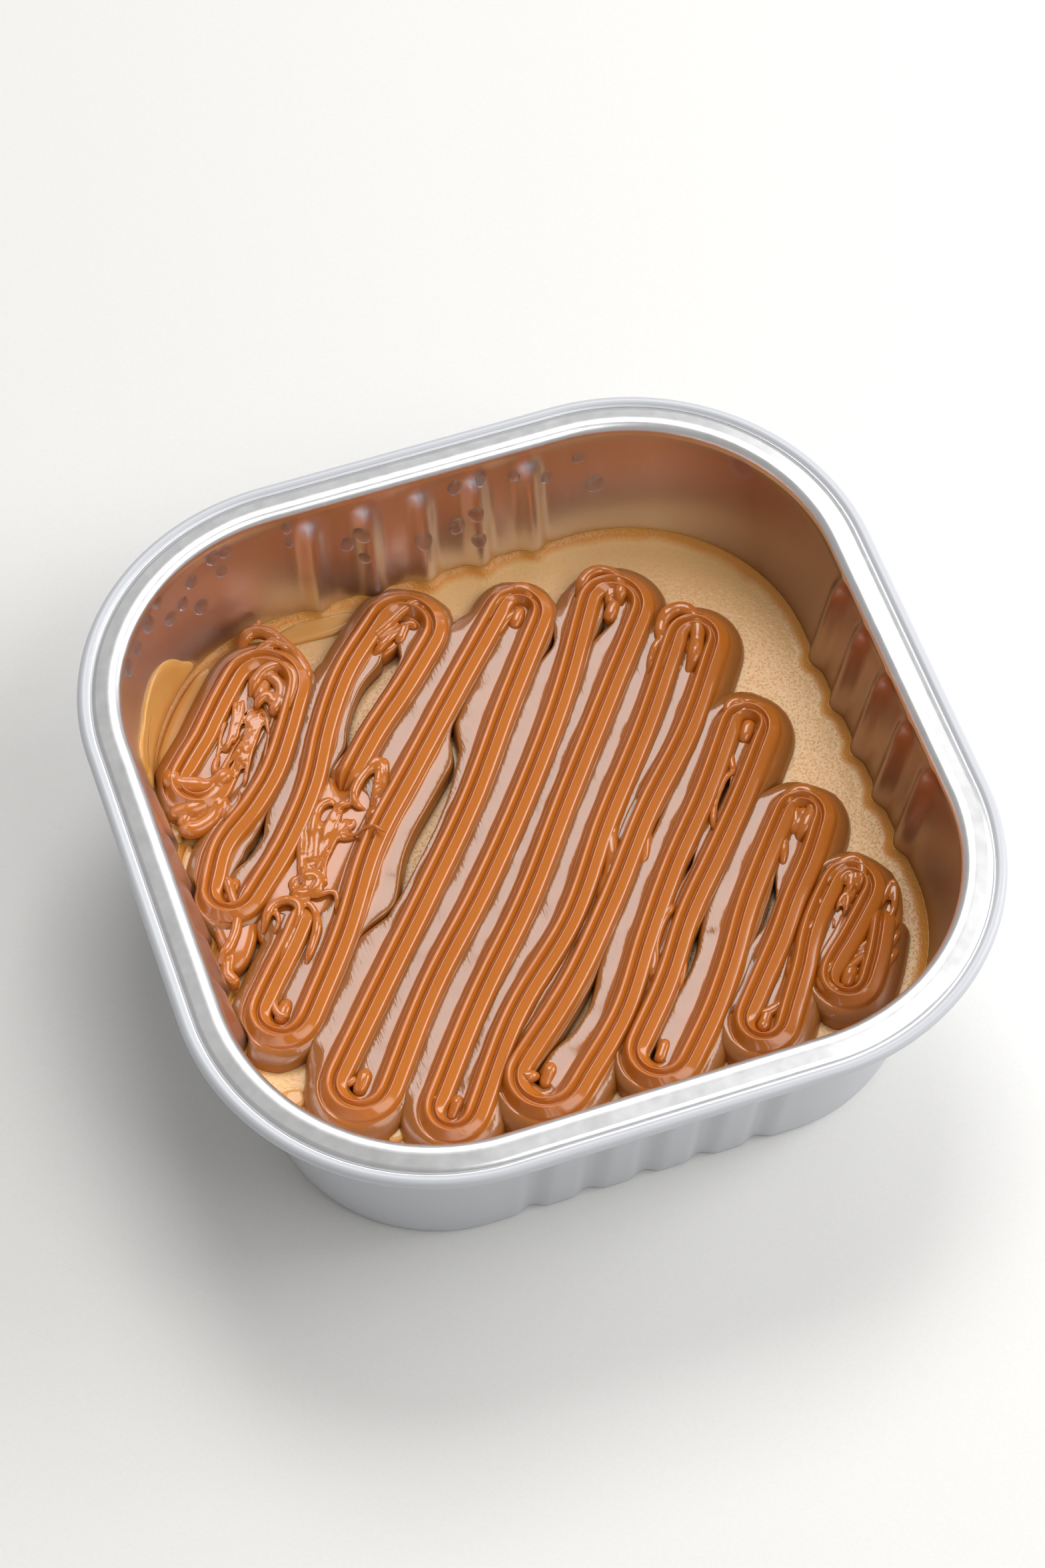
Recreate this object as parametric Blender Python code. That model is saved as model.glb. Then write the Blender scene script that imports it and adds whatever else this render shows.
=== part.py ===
"""Caramel pudding set in a square foil dish, with a zigzag of thick caramel piped on top.

The dish is a rounded square with fluted, drafted walls, a sloping flange and a rolled
bead. Its base stands on z = 0 and its centre is the origin; X and Y run along its
sides. All sizes below are in millimetres and are turned into metres at the end.
"""
import math
import random

import bmesh
import bpy
import numpy as np
from mathutils import Vector

MM = 0.001

# Dish: every outline is the same 46 mm square grown by a radius, so the corner
# centres stay in one place from the base to the bead.
CORE_HALF = 23.0
FOOT_RADIUS = 25.2
DRAFT = 0.169
WALL = 0.6
FOOT_ROUND = 0.6
INNER_FOOT_ROUND = 1.2
WALL_TOP_Z = 37.2
LIP_BEND = ((0.0, 0.4), (0.35, 1.6))
CORNER_STEPS = 7

# Flutes: five grooves pressed into the straight part of each side.
FLUTES = 5
FLUTE_PITCH = 8.6
FLUTE_HALF_WIDTH = 2.8
FLUTE_DEPTH_FOOT = 0.9
FLUTE_DEPTH_TOP = 1.35
FLUTE_FULL_Z = 31.5
FLUTE_SHOULDER_Z = 35.2
FLUTE_FADE = 0.45
FLUTE_STEPS = (-1.0, -0.36, 0.36, 1.0)

# Flange and rolled bead, as radius from the core square and height.
LIP_INNER = (32.0, 39.3)
LIP_OUTER = (34.9, 38.6)
LIP_GROOVE = (35.2, 38.2)
LIP_UNDER = (34.6, 38.0)
BEAD_CENTRE = (36.05, 37.9)
BEAD_RADIUS = 0.95
BEAD_ANGLES = (120, 60, 0, -60, -120)

# Contents
GAP = 0.3
PUDDING_Z = 16.5

# Piped ribbon from a star nozzle: two ridges in the middle and a lower flange on each
# side. Each leg's flange on the -V side lies over the leg before it, so that leg keeps
# only the steep flank beside its ridge.
RIBBON_HALF = 4.2
RIDGE_OFFSET = 0.95
RIDGE_HEIGHT = 4.7
VALLEY_HEIGHT = 4.05
GROOVE_OFFSET = 2.1
GROOVE_HEIGHT = 2.7
FLANGE_HEIGHT = 2.9
FLANGE_EDGE = 1.5
FLANGE_BEVEL = 0.62
FLANK_EDGE = 2.2
FLANK_BEVEL = 0.12
FLANK_RISE = 1.1
FOOT_TUCK = 0.1
LAP_SHIFT = 1.05
ROLL = 0.09
HALF_SLIT = 0.15
WALL_CLEARANCE = 0.35
WOBBLE = 0.12

# The zigzag is laid out in a frame turned about +Z: U runs along the legs and V runs
# across them, in the order in which the legs were piped.
LEG_ANGLE = math.radians(54.0)

# Turns of the zigzag in piping order: V, U of the middle of the ribbon at the turn, and
# the turn's radius. They alternate low and high, starting with a low one, and run
# towards +V except for the first, whose radius is negative.
TURNS = (
    (-50.2, -8.8, -3.2),
    (-46.6, 18.3, 5.0),
    (-39.6, -25.2, 3.2),
    (-29.8, 33.8, 4.6),
    (-26.0, -42.4, 3.6),
    (-14.0, 40.2, 3.3),
    (-11.7, -50.3, 3.9),
    (-0.7, 46.6, 4.2),
    (2.0, -49.5, 3.0),
    (12.8, 43.2, 3.2),
    (13.0, -42.3, 4.6),
    (24.5, 30.3, 2.9),
    (27.4, -33.0, 3.9),
    (36.3, 17.8, 2.9),
    (40.0, -23.0, 3.0),
    (46.2, 8.3, 3.1),
    (49.6, -12.5, 2.9),
)

# Sideways sway of each leg from the straight line between its turns, at one, two, three
# and four fifths of its length. The leg that tears has its own entries further down.
SWAY = (
    (0.1, 0.3, 0.1, 0.0),
    (0.9, 1.4, 0.6, -1.0),
    (1.2, 1.1, -0.6, -1.3),
    None,
    (-0.6, -2.4, -1.8, -1.0),
    (0.5, 1.4, 1.1, 0.5),
    (-0.1, 1.4, 2.0, 1.7),
    (0.1, 0.3, 0.7, -0.2),
    (-0.5, 1.7, 0.9, 0.9),
    (1.4, 1.0, 1.8, 1.8),
    (1.6, 0.7, 0.2, 0.5),
    (0.2, -0.1, -0.5, 0.3),
    (0.6, 0.4, -0.3, -0.3),
    (0.4, 0.2, 0.4, 0.2),
    (-0.1, -0.2, -0.7, -0.6),
    (0.1, 0.1, 0.1, -0.1),
)
TORN_LEG = 3

# Loose ends: where the piping starts, stops, tears and starts again.
START_END = ((-45.8, 9.5), (-46.5, 2.5))
TORN_UPPER_END = ((-26.6, 20.0), (-28.6, 10.0), (-29.8, -1.0))
TORN_LOWER_END = ((-28.6, -20.0), (-28.7, -27.0), (-29.3, -34.0))
LAST_END = ((52.4, -4.0), (51.4, 4.0))
END_TAPER = 3.0
END_SIZE = 0.35
LONG_LEG = 55.0

# Steps for measuring how much room each section has.
CLAIM_STEP = 0.5
WIDTH_STEP = 0.1
OWN_STRETCH = 3.0
LONGEST_STEP = 14.0
PATH_JUMP = 1000.0

# Strands stretched across the tear: V at the upper and lower end, and radius.
TEAR_TOP_U = 1.0
TEAR_LOW_U = -22.0
STRANDS = ((-31.6, -29.9, 0.75), (-30.2, -29.0, 0.9), (-28.6, -28.2, 0.8), (-27.2, -27.0, 0.6))
STRAND_SIDES = 6
STRAND_STEPS = 5
STRAND_TOP = 3.6
STRAND_SAG = 1.5
STRAND_THINNING = 0.35

rng = random.Random(7)


def clear_scene():
    for obj in list(bpy.data.objects):
        bpy.data.objects.remove(obj, do_unlink=True)


def make_material(name, colour, roughness, metallic):
    material = bpy.data.materials.new(name)
    material.use_nodes = True
    shader = material.node_tree.nodes["Principled BSDF"]
    shader.inputs["Base Color"].default_value = (*colour, 1.0)
    shader.inputs["Roughness"].default_value = roughness
    shader.inputs["Metallic"].default_value = metallic
    return material


def make_object(name, mesh, material, collection, sharp_angle=40.0):
    mesh.materials.append(material)
    mesh.shade_smooth()
    mesh.set_sharp_from_angle(angle=math.radians(sharp_angle))
    obj = bpy.data.objects.new(name, mesh)
    collection.objects.link(obj)
    return obj


def core_points():
    """Points round the core square, each with its outward direction and flute weight."""
    along = [-CORE_HALF]
    for index in range(FLUTES):
        centre = (index - (FLUTES - 1) / 2) * FLUTE_PITCH
        for step in FLUTE_STEPS:
            along.append(centre + step * FLUTE_HALF_WIDTH)
    along.append(CORE_HALF)
    points = []
    for side in range(4):
        turn = side * math.pi / 2
        out = Vector((math.cos(turn), math.sin(turn)))
        run = Vector((-out.y, out.x))
        for distance in along:
            points.append((out * CORE_HALF + run * distance, out, flute_weight(distance)))
        for step in range(1, CORNER_STEPS):
            angle = turn + step / CORNER_STEPS * math.pi / 2
            direction = Vector((math.cos(angle), math.sin(angle)))
            points.append((out * CORE_HALF + run * CORE_HALF, direction, 0.0))
    return points


def flute_weight(distance):
    """One in the middle of a flute's groove, falling to zero at its sides."""
    nearest = min(FLUTES // 2, max(-(FLUTES // 2), round(distance / FLUTE_PITCH)))
    offset = abs(distance - nearest * FLUTE_PITCH) / FLUTE_HALF_WIDTH
    if offset >= 1.0:
        return 0.0
    return 0.5 + 0.5 * math.cos(math.pi * offset)


def flute_depth(height):
    """Depth of the flutes: shallow at the foot, fading out in arches under the flange."""
    if height <= FLUTE_FULL_Z:
        blend = height / FLUTE_FULL_Z
        return FLUTE_DEPTH_FOOT + (FLUTE_DEPTH_TOP - FLUTE_DEPTH_FOOT) * blend
    if height <= FLUTE_SHOULDER_Z:
        blend = (height - FLUTE_FULL_Z) / (FLUTE_SHOULDER_Z - FLUTE_FULL_Z)
        return FLUTE_DEPTH_TOP * (1.0 - FLUTE_FADE * blend)
    return 0.0


def outer_radius(height):
    return FOOT_RADIUS + DRAFT * height


def inner_radius(height):
    return outer_radius(height) - WALL


def ring_loft(name, rings):
    """Closed skin through rings of (radius, height, flute depth), with flat ends."""
    core = core_points()
    mesh = bpy.data.meshes.new(name)
    bm = bmesh.new()
    rows = []
    for radius, height, depth in rings:
        row = []
        for point, direction, weight in core:
            place = point + direction * (radius - depth * weight)
            row.append(bm.verts.new((place.x * MM, place.y * MM, height * MM)))
        rows.append(row)
    count = len(core)
    for lower, upper in zip(rows, rows[1:]):
        for index in range(count):
            after = (index + 1) % count
            bm.faces.new((lower[index], lower[after], upper[after], upper[index]))
    bm.faces.new(list(reversed(rows[0])))
    bm.faces.new(rows[-1])
    bmesh.ops.recalc_face_normals(bm, faces=bm.faces)
    bm.to_mesh(mesh)
    bm.free()
    return mesh


def tray_rings():
    """Section of the dish from the outside of its base, over the bead, to the inside."""
    foot = outer_radius(0.0)
    shoulder = FLUTE_SHOULDER_Z
    rings = [
        (foot - FOOT_ROUND, 0.0, FLUTE_DEPTH_FOOT),
        (foot, FOOT_ROUND, FLUTE_DEPTH_FOOT),
        (outer_radius(FLUTE_FULL_Z), FLUTE_FULL_Z, FLUTE_DEPTH_TOP),
        (outer_radius(shoulder), shoulder, flute_depth(shoulder)),
        (outer_radius(WALL_TOP_Z), WALL_TOP_Z, 0.0),
        (LIP_UNDER[0], LIP_UNDER[1], 0.0),
    ]
    for angle in reversed(BEAD_ANGLES):
        turn = math.radians(angle)
        radius = BEAD_CENTRE[0] + BEAD_RADIUS * math.cos(turn)
        rings.append((radius, BEAD_CENTRE[1] + BEAD_RADIUS * math.sin(turn), 0.0))
    rings += [
        (LIP_GROOVE[0], LIP_GROOVE[1], 0.0),
        (LIP_OUTER[0], LIP_OUTER[1], 0.0),
        (LIP_INNER[0], LIP_INNER[1], 0.0),
    ]
    for outward, upward in reversed(LIP_BEND):
        rings.append((inner_radius(WALL_TOP_Z) + outward, WALL_TOP_Z + upward, 0.0))
    low = WALL + INNER_FOOT_ROUND
    rings += [
        (inner_radius(shoulder), shoulder, flute_depth(shoulder)),
        (inner_radius(FLUTE_FULL_Z), FLUTE_FULL_Z, FLUTE_DEPTH_TOP),
        (inner_radius(low), low, FLUTE_DEPTH_FOOT),
        (inner_radius(0.0) - INNER_FOOT_ROUND, WALL, FLUTE_DEPTH_FOOT),
    ]
    return rings


def pudding_rings():
    """The set pudding: it follows the fluted wall and has a level top."""
    low = WALL + INNER_FOOT_ROUND + GAP
    side = inner_radius(PUDDING_Z) - GAP
    return [
        (inner_radius(0.0) - INNER_FOOT_ROUND - GAP, WALL + GAP, FLUTE_DEPTH_FOOT),
        (inner_radius(low) - GAP, low, FLUTE_DEPTH_FOOT),
        (side, PUDDING_Z, flute_depth(PUDDING_Z)),
    ]


def smooth_through(points, steps):
    """Catmull-Rom curve through the points, with the given steps in each span."""
    padded = [points[0] * 2 - points[1]] + list(points) + [points[-1] * 2 - points[-2]]
    result = [points[0].copy()]
    for index in range(1, len(padded) - 2):
        p0, p1, p2, p3 = padded[index - 1:index + 3]
        for step in range(1, steps + 1):
            t = step / steps
            result.append(0.5 * (
                2 * p1 + (p2 - p0) * t
                + (2 * p0 - 5 * p1 + 4 * p2 - p3) * t * t
                + (3 * p1 - p0 - 3 * p2 + p3) * t * t * t
            ))
    return result


def quarter_turn(turn_index, leaving):
    """Quarter of a turn, from its top or bottom down to its shoulder, or back up to it."""
    v, u, radius = TURNS[turn_index]
    up = 1.0 if turn_index % 2 else -1.0
    side = 1.0 if leaving else -1.0
    points = []
    for degrees in (0.0, 30.0, 60.0, 90.0):
        angle = math.radians(degrees)
        across = side * radius * math.sin(angle)
        drop = up * abs(radius) * (1.0 - math.cos(angle))
        points.append(Vector((v + across, u - drop)))
    if not leaving:
        points.reverse()
    return points


def leg_middle(index):
    """Centre line of one leg between the shoulders of its turns."""
    first = quarter_turn(index, True)[-1]
    last = quarter_turn(index + 1, False)[0]
    between = []
    for number, sway in enumerate(SWAY[index], start=1):
        point = first.lerp(last, number / 5)
        between.append(point + Vector((sway, 0.0)))
    steps = 2 if (last - first).length > LONG_LEG else 1
    middle = smooth_through([first] + between + [last], steps)
    for point in middle[1:-1]:
        point.x += rng.uniform(-WOBBLE, WOBBLE)
    return middle


def strand_path(first_turn, last_turn, start_points, end_points):
    """Centre line over a run of turns between two loose ends."""
    path = smooth_through(
        [Vector(point) for point in start_points] + [quarter_turn(first_turn, False)[0]], 2
    )
    for turn in range(first_turn, last_turn + 1):
        path += quarter_turn(turn, False)[1:]
        path += quarter_turn(turn, True)[1:]
        if turn < last_turn:
            path += leg_middle(turn)[1:-1]
            path.append(quarter_turn(turn + 1, False)[0])
    ends = [Vector(point) for point in end_points]
    path += smooth_through([path[-1]] + ends, 2)[1:]
    return path


def to_dish(point):
    """From the turned layout frame to the dish's own X and Y."""
    v, u = point
    x = v * math.sin(LEG_ANGLE) + u * math.cos(LEG_ANGLE)
    y = u * math.sin(LEG_ANGLE) - v * math.cos(LEG_ANGLE)
    return x, y


def tangents(path):
    """Direction of travel at each point of a path."""
    result = []
    for index in range(len(path)):
        ahead = path[min(index + 1, len(path) - 1)]
        behind = path[max(index - 1, 0)]
        result.append((ahead - behind).normalized())
    return result


def claim_line(paths):
    """Dense points along the middle of what each leg covers, with their travel lengths.

    The lengths of a later path start far beyond those of the one before it.
    """
    places, travels = [], []
    travel = 0.0
    for path in paths:
        directions = tangents(path)
        shifted = []
        for point, direction in zip(path, directions):
            shifted.append(point - Vector((LAP_SHIFT * abs(direction.y), 0.0)))
        for before, after in zip(shifted, shifted[1:]):
            span = (after - before).length
            count = max(1, round(span / CLAIM_STEP))
            for step in range(count):
                places.append(before.lerp(after, step / count))
                travels.append(travel + span * step / count)
            travel += span
        travel += PATH_JUMP
    return np.array(places), np.array(travels)


def free_width(centre, side, own_travel, claims, full):
    """How far the ribbon may reach to one side before another leg or the dish's wall."""
    places, travels = claims
    others = places[np.abs(travels - own_travel) > OWN_STRETCH]
    own = places[np.abs(travels - own_travel) <= OWN_STRETCH]
    width = WIDTH_STEP
    while width + WIDTH_STEP <= full:
        point = centre + side * (width + WIDTH_STEP)
        spot = np.array(point)
        to_other = np.sqrt(((others - spot) ** 2).sum(axis=1).min())
        to_own = np.sqrt(((own - spot) ** 2).sum(axis=1).min())
        if to_other < to_own + 2.0 * HALF_SLIT or not inside_dish(point):
            break
        width += WIDTH_STEP
    return width


def inside_dish(point):
    """Whether a point of the layout frame keeps clear of the dish's wall."""
    x, y = to_dish(point)
    near = Vector((max(-CORE_HALF, min(CORE_HALF, x)), max(-CORE_HALF, min(CORE_HALF, y))))
    limit = inner_radius(PUDDING_Z) - flute_depth(PUDDING_Z) - WALL_CLEARANCE
    return (Vector((x, y)) - near).length <= limit


def half_profile(width):
    """Half of the ribbon's section from its foot to its ridge, for the width it may use."""
    flange = min(1.0, max(0.0, (width - GROOVE_OFFSET) / (RIBBON_HALF - GROOVE_OFFSET)))
    ridge = min(RIDGE_OFFSET, 0.5 * width)
    groove = min(GROOVE_OFFSET, 0.5 * (ridge + width))
    edge_height = FLANK_EDGE + (FLANGE_EDGE - FLANK_EDGE) * flange
    bevel = FLANK_BEVEL + (FLANGE_BEVEL - FLANK_BEVEL) * flange
    return [
        (width - FOOT_TUCK, 0.0),
        (width, edge_height),
        (width - bevel, FLANGE_HEIGHT),
        (groove, GROOVE_HEIGHT + (1.0 - flange) * FLANK_RISE),
        (ridge, RIDGE_HEIGHT),
    ]


def ribbon_rows(path, start_travel, claims):
    """Sections of the ribbon along a path, each as wide as its neighbours leave it."""
    base = PUDDING_Z + GAP
    directions = tangents(path)
    lengths = [0.0]
    for before, after in zip(path, path[1:]):
        lengths.append(lengths[-1] + (after - before).length)
    own = travel_along(path, claims, start_travel)
    rows = []
    for index, centre in enumerate(path):
        tangent = directions[index]
        left = Vector((-tangent.y, tangent.x))
        to_end = min(lengths[index], lengths[-1] - lengths[index])
        size = min(1.0, END_SIZE + (1.0 - END_SIZE) * to_end / END_TAPER)
        full = RIBBON_HALF * size
        left_half = half_profile(free_width(centre, left, own[index], claims, full))
        right_half = half_profile(free_width(centre, -left, own[index], claims, full))
        section = left_half + [(0.0, VALLEY_HEIGHT)]
        section += [(-across, height) for across, height in reversed(right_half)]
        row = []
        for across, height in section:
            raised = height * size
            if height > 0.0:
                raised += ROLL * across * tangent.y * min(1.0, height / FLANGE_HEIGHT)
            x, y = to_dish(centre + left * across)
            row.append(Vector((x, y, base + raised)) * MM)
        rows.append(row)
    return rows


def travel_along(path, claims, start_travel):
    """Travel length on the claim line nearest to each point of a path, in order."""
    places, travels = claims
    result = []
    reached = start_travel
    for point in path:
        window = (travels >= reached - 1.0) & (travels <= reached + LONGEST_STEP)
        distances = ((places[window] - np.array(point)) ** 2).sum(axis=1)
        reached = float(travels[window][distances.argmin()])
        result.append(reached)
    return result


def tube_mesh(name, rows):
    """Closed mesh through rings of points, each end a fan round its own middle."""
    bm = bmesh.new()
    grid = [[bm.verts.new(point) for point in row] for row in rows]
    count = len(rows[0])
    for lower, upper in zip(grid, grid[1:]):
        for step in range(count):
            after = (step + 1) % count
            bm.faces.new((lower[step], lower[after], upper[after]))
            bm.faces.new((lower[step], upper[after], upper[step]))
    for ring, points in ((grid[0], rows[0]), (grid[-1], rows[-1])):
        middle = bm.verts.new(sum(points, Vector()) / count)
        for step in range(count):
            bm.faces.new((ring[step], ring[(step + 1) % count], middle))
    bmesh.ops.recalc_face_normals(bm, faces=bm.faces)
    if bm.calc_volume(signed=True) < 0.0:
        bmesh.ops.reverse_faces(bm, faces=bm.faces)
    mesh = bpy.data.meshes.new(name)
    bm.to_mesh(mesh)
    bm.free()
    return mesh


def strand_rows(top_v, low_v, radius):
    """Rings of one stretched strand, which thins and sags in its middle."""
    rows = []
    for step in range(STRAND_STEPS + 1):
        part = step / STRAND_STEPS
        v = top_v + (low_v - top_v) * part
        u = TEAR_TOP_U + (TEAR_LOW_U - TEAR_TOP_U) * part
        middle = math.sin(math.pi * part)
        height = PUDDING_Z + GAP + STRAND_TOP - STRAND_SAG * middle - radius
        thick = radius * (1.0 - STRAND_THINNING * middle)
        row = []
        for side in range(STRAND_SIDES):
            angle = 2.0 * math.pi * side / STRAND_SIDES
            x, y = to_dish((v + thick * math.cos(angle), u))
            row.append(Vector((x, y, height + thick * math.sin(angle))) * MM)
        rows.append(row)
    return rows


def piping_meshes():
    """Both runs of the zigzag and the stretched strands, as separate closed meshes."""
    paths = (
        strand_path(0, TORN_LEG, START_END, TORN_UPPER_END),
        strand_path(TORN_LEG + 1, len(TURNS) - 1, TORN_LOWER_END, LAST_END),
    )
    claims = claim_line(paths)
    jump = int(np.argmax(np.diff(claims[1]))) + 1
    starts = (0.0, float(claims[1][jump]))
    meshes = []
    for path, start in zip(paths, starts):
        meshes.append(tube_mesh("ribbon", ribbon_rows(path, start, claims)))
    for top_v, low_v, radius in STRANDS:
        meshes.append(tube_mesh("strand", strand_rows(top_v, low_v, radius)))
    return meshes


def fuse(meshes, cutters):
    """Joins closed meshes into one by a single Boolean union on a collection."""
    first = bpy.data.objects.new("fused", meshes[0])
    bpy.context.scene.collection.objects.link(first)
    for mesh in meshes[1:]:
        other = bpy.data.objects.new(mesh.name, mesh)
        other.hide_render = True
        other.display_type = "WIRE"
        cutters.objects.link(other)
    union = first.modifiers.new("Union", "BOOLEAN")
    union.operation = "UNION"
    union.operand_type = "COLLECTION"
    union.collection = cutters
    union.solver = "EXACT"
    evaluated = first.evaluated_get(bpy.context.evaluated_depsgraph_get())
    result = bpy.data.meshes.new_from_object(evaluated)
    for other in list(cutters.objects) + [first]:
        bpy.data.objects.remove(other, do_unlink=True)
    return result


def main():
    clear_scene()
    parts = bpy.data.collections.new("caramel_pudding")
    cutters = bpy.data.collections.new("caramel_pudding_cutters")
    bpy.context.scene.collection.children.link(parts)
    bpy.context.scene.collection.children.link(cutters)

    foil = make_material("foil", (0.78, 0.79, 0.80), 0.32, 1.0)
    pudding = make_material("pudding", (0.74, 0.45, 0.19), 0.38, 0.0)
    caramel = make_material("caramel", (0.56, 0.20, 0.035), 0.12, 0.0)

    make_object("tray", ring_loft("tray", tray_rings()), foil, parts)
    make_object("pudding", ring_loft("pudding", pudding_rings()), pudding, parts)
    make_object("caramel_piping", fuse(piping_meshes(), cutters), caramel, parts)


main()
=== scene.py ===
# %% [markdown]
# # A caramel pudding in its foil dish
# The object is a small set pudding in a square foil dish, with a zigzag of thick
# caramel piped over it. This lesson dresses a plain solid model of it: the dish gets its
# pressed flutes and two finishes, the pudding its skin, the caramel its ridges and strands,
# and the wall its drops of water.
# Everything stays in one frame: the dish stands on z = 0 and its sides run along X and Y.

# %% The shared frame
import math

import bmesh
import bpy
import numpy as np
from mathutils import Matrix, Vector, noise


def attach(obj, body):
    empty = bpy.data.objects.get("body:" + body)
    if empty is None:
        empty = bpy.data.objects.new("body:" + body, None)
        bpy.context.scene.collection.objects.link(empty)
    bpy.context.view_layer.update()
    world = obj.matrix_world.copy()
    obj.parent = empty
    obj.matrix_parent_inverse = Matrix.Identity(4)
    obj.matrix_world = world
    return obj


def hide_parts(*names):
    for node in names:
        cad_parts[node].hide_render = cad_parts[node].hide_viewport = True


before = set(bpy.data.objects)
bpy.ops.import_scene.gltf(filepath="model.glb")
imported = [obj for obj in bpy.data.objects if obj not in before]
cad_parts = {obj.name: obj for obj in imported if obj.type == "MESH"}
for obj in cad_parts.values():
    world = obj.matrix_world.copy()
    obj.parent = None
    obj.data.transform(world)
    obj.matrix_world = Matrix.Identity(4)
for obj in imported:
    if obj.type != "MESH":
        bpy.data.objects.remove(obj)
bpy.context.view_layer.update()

MM = 0.001
LEG_ANGLE = math.radians(54.0)

# %% [markdown]
# ## Writing node trees as expressions
# Materials and Geometry Nodes are both graphs of small nodes. Clicked together they are
# hard to read, so here one class wraps a socket and the usual operators add the Math node
# that does the same. A second helper adds any other node: its settings first, because
# they decide which sockets it has, and then the values or links of its sockets.

# %% A socket that can be calculated with


class Wire:
    """An output socket of a node tree; arithmetic on it adds Math or Vector Math nodes."""

    def __init__(self, tree, socket):
        self.tree = tree
        self.socket = socket

    def other(self, name):
        """Another output of the same node."""
        return Wire(self.tree, pick(self.socket.node.outputs, name))

    def calc(self, operation, *values):
        """Adds the Math node for numbers, or the Vector Math node if a vector is in it."""
        flat = all(is_number(value) for value in values)
        kind = "ShaderNodeMath" if flat else "ShaderNodeVectorMath"
        return add(self.tree, kind, {"operation": operation}, dict(enumerate(values)))

    def __add__(self, value):
        return self.calc("ADD", self, value)

    def __radd__(self, value):
        return self.calc("ADD", value, self)

    def __sub__(self, value):
        return self.calc("SUBTRACT", self, value)

    def __rsub__(self, value):
        return self.calc("SUBTRACT", value, self)

    def __mul__(self, value):
        return self.calc("MULTIPLY", self, value)

    def __rmul__(self, value):
        return self.calc("MULTIPLY", value, self)

    def __truediv__(self, value):
        return self.calc("DIVIDE", self, value)

    def __rtruediv__(self, value):
        return self.calc("DIVIDE", value, self)

    def __abs__(self):
        return self.calc("ABSOLUTE", self)

    def at_most(self, limit):
        """The value, but never more than the limit."""
        return self.calc("MINIMUM", self, limit)

    def above(self, limit):
        """One where the value is above the limit, zero elsewhere."""
        return self.calc("GREATER_THAN", self, limit)


def is_number(value):
    if isinstance(value, Wire):
        return value.socket.type not in {"VECTOR", "RGBA"}
    return isinstance(value, (int, float))


def pick(sockets, key):
    """A socket by its place, or the first one in use that has that name."""
    if isinstance(key, int):
        return sockets[key]
    return next(socket for socket in sockets if socket.name == key and socket.enabled)


def add(tree, kind, settings=None, sockets=None, out=0):
    """Adds a node: first its settings, then its sockets. Gives one of its outputs."""
    node = tree.nodes.new(kind)
    for name, value in (settings or {}).items():
        if name == "stops":
            set_stops(node.color_ramp, value)
        else:
            setattr(node, name, value)
    for key, value in (sockets or {}).items():
        socket = pick(node.inputs, key)
        if isinstance(value, Wire):
            tree.links.new(value.socket, socket)
        elif socket.type == "VECTOR" and isinstance(value, (int, float)):
            socket.default_value = (value, value, value)
        elif socket.type == "RGBA":
            socket.default_value = (*value[:3], 1.0)
        else:
            socket.default_value = value
    return Wire(tree, pick(node.outputs, out)) if len(node.outputs) else None


def set_stops(ramp, stops):
    """Places a ramp's stops: position and grey value or colour of each."""
    while len(ramp.elements) < len(stops):
        ramp.elements.new(1.0)
    for element, (place, value) in zip(ramp.elements, stops):
        element.position = place
        colour = (value, value, value) if isinstance(value, (int, float)) else value
        element.color = (*colour, 1.0)


print("helpers ready: a wire with its operators, and a way to add any other node")

# %% [markdown]
# ## Trees that make shapes
# A Geometry Nodes tree is a recipe with named sizes. It is put on a seed mesh as a
# modifier, its sizes are set by the sockets' identifiers, and the result is turned into a
# plain mesh, so that what leaves this file is ordinary geometry.

# %% Making and applying a tree


def shape_tree(name, sizes):
    """A new tree with one geometry input and named number inputs; gives it and its wires."""
    tree = bpy.data.node_groups.new(name, "GeometryNodeTree")
    tree.interface.new_socket("Seed shape", in_out="INPUT", socket_type="NodeSocketGeometry")
    for label, value in sizes.items():
        made = tree.interface.new_socket(label, in_out="INPUT", socket_type="NodeSocketFloat")
        made.default_value = value
    tree.interface.new_socket("Shape", in_out="OUTPUT", socket_type="NodeSocketGeometry")
    start = tree.nodes.new("NodeGroupInput")
    wires = {socket.name: Wire(tree, socket) for socket in start.outputs if socket.name}
    return tree, wires


def close_tree(tree, shape, material):
    """Ends a tree: real geometry, smooth, with its finish."""
    shape = add(tree, "GeometryNodeRealizeInstances", None, {"Geometry": shape})
    shape = add(tree, "GeometryNodeSetShadeSmooth", None, {"Geometry": shape})
    shape = add(tree, "GeometryNodeSetMaterial", None, {"Geometry": shape, "Material": material})
    end = tree.nodes.new("NodeGroupOutput")
    tree.links.new(shape.socket, end.inputs[0])


def grow(name, seed_mesh, tree, sizes, material):
    """Runs a tree on a seed mesh and keeps what it makes as a plain object."""
    seed = bpy.data.objects.new(name + "_seed", seed_mesh)
    bpy.context.scene.collection.objects.link(seed)
    modifier = seed.modifiers.new("Shape", "NODES")
    modifier.node_group = tree
    for item in tree.interface.items_tree:
        if item.in_out == "INPUT" and item.name in sizes:
            modifier[item.identifier] = float(sizes[item.name])
    evaluated = seed.evaluated_get(bpy.context.evaluated_depsgraph_get())
    mesh = bpy.data.meshes.new_from_object(evaluated)
    bpy.data.objects.remove(seed, do_unlink=True)
    mesh.materials.clear()
    return place(name, mesh, material)


def place(name, mesh, material):
    """A named object at the origin, with its finish."""
    mesh.name = name
    mesh.materials.append(material)
    obj = bpy.data.objects.new(name, mesh)
    bpy.context.scene.collection.objects.link(obj)
    triangles = sum(len(face.vertices) - 2 for face in mesh.polygons)
    print(name, triangles, "triangles")
    return obj


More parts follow.
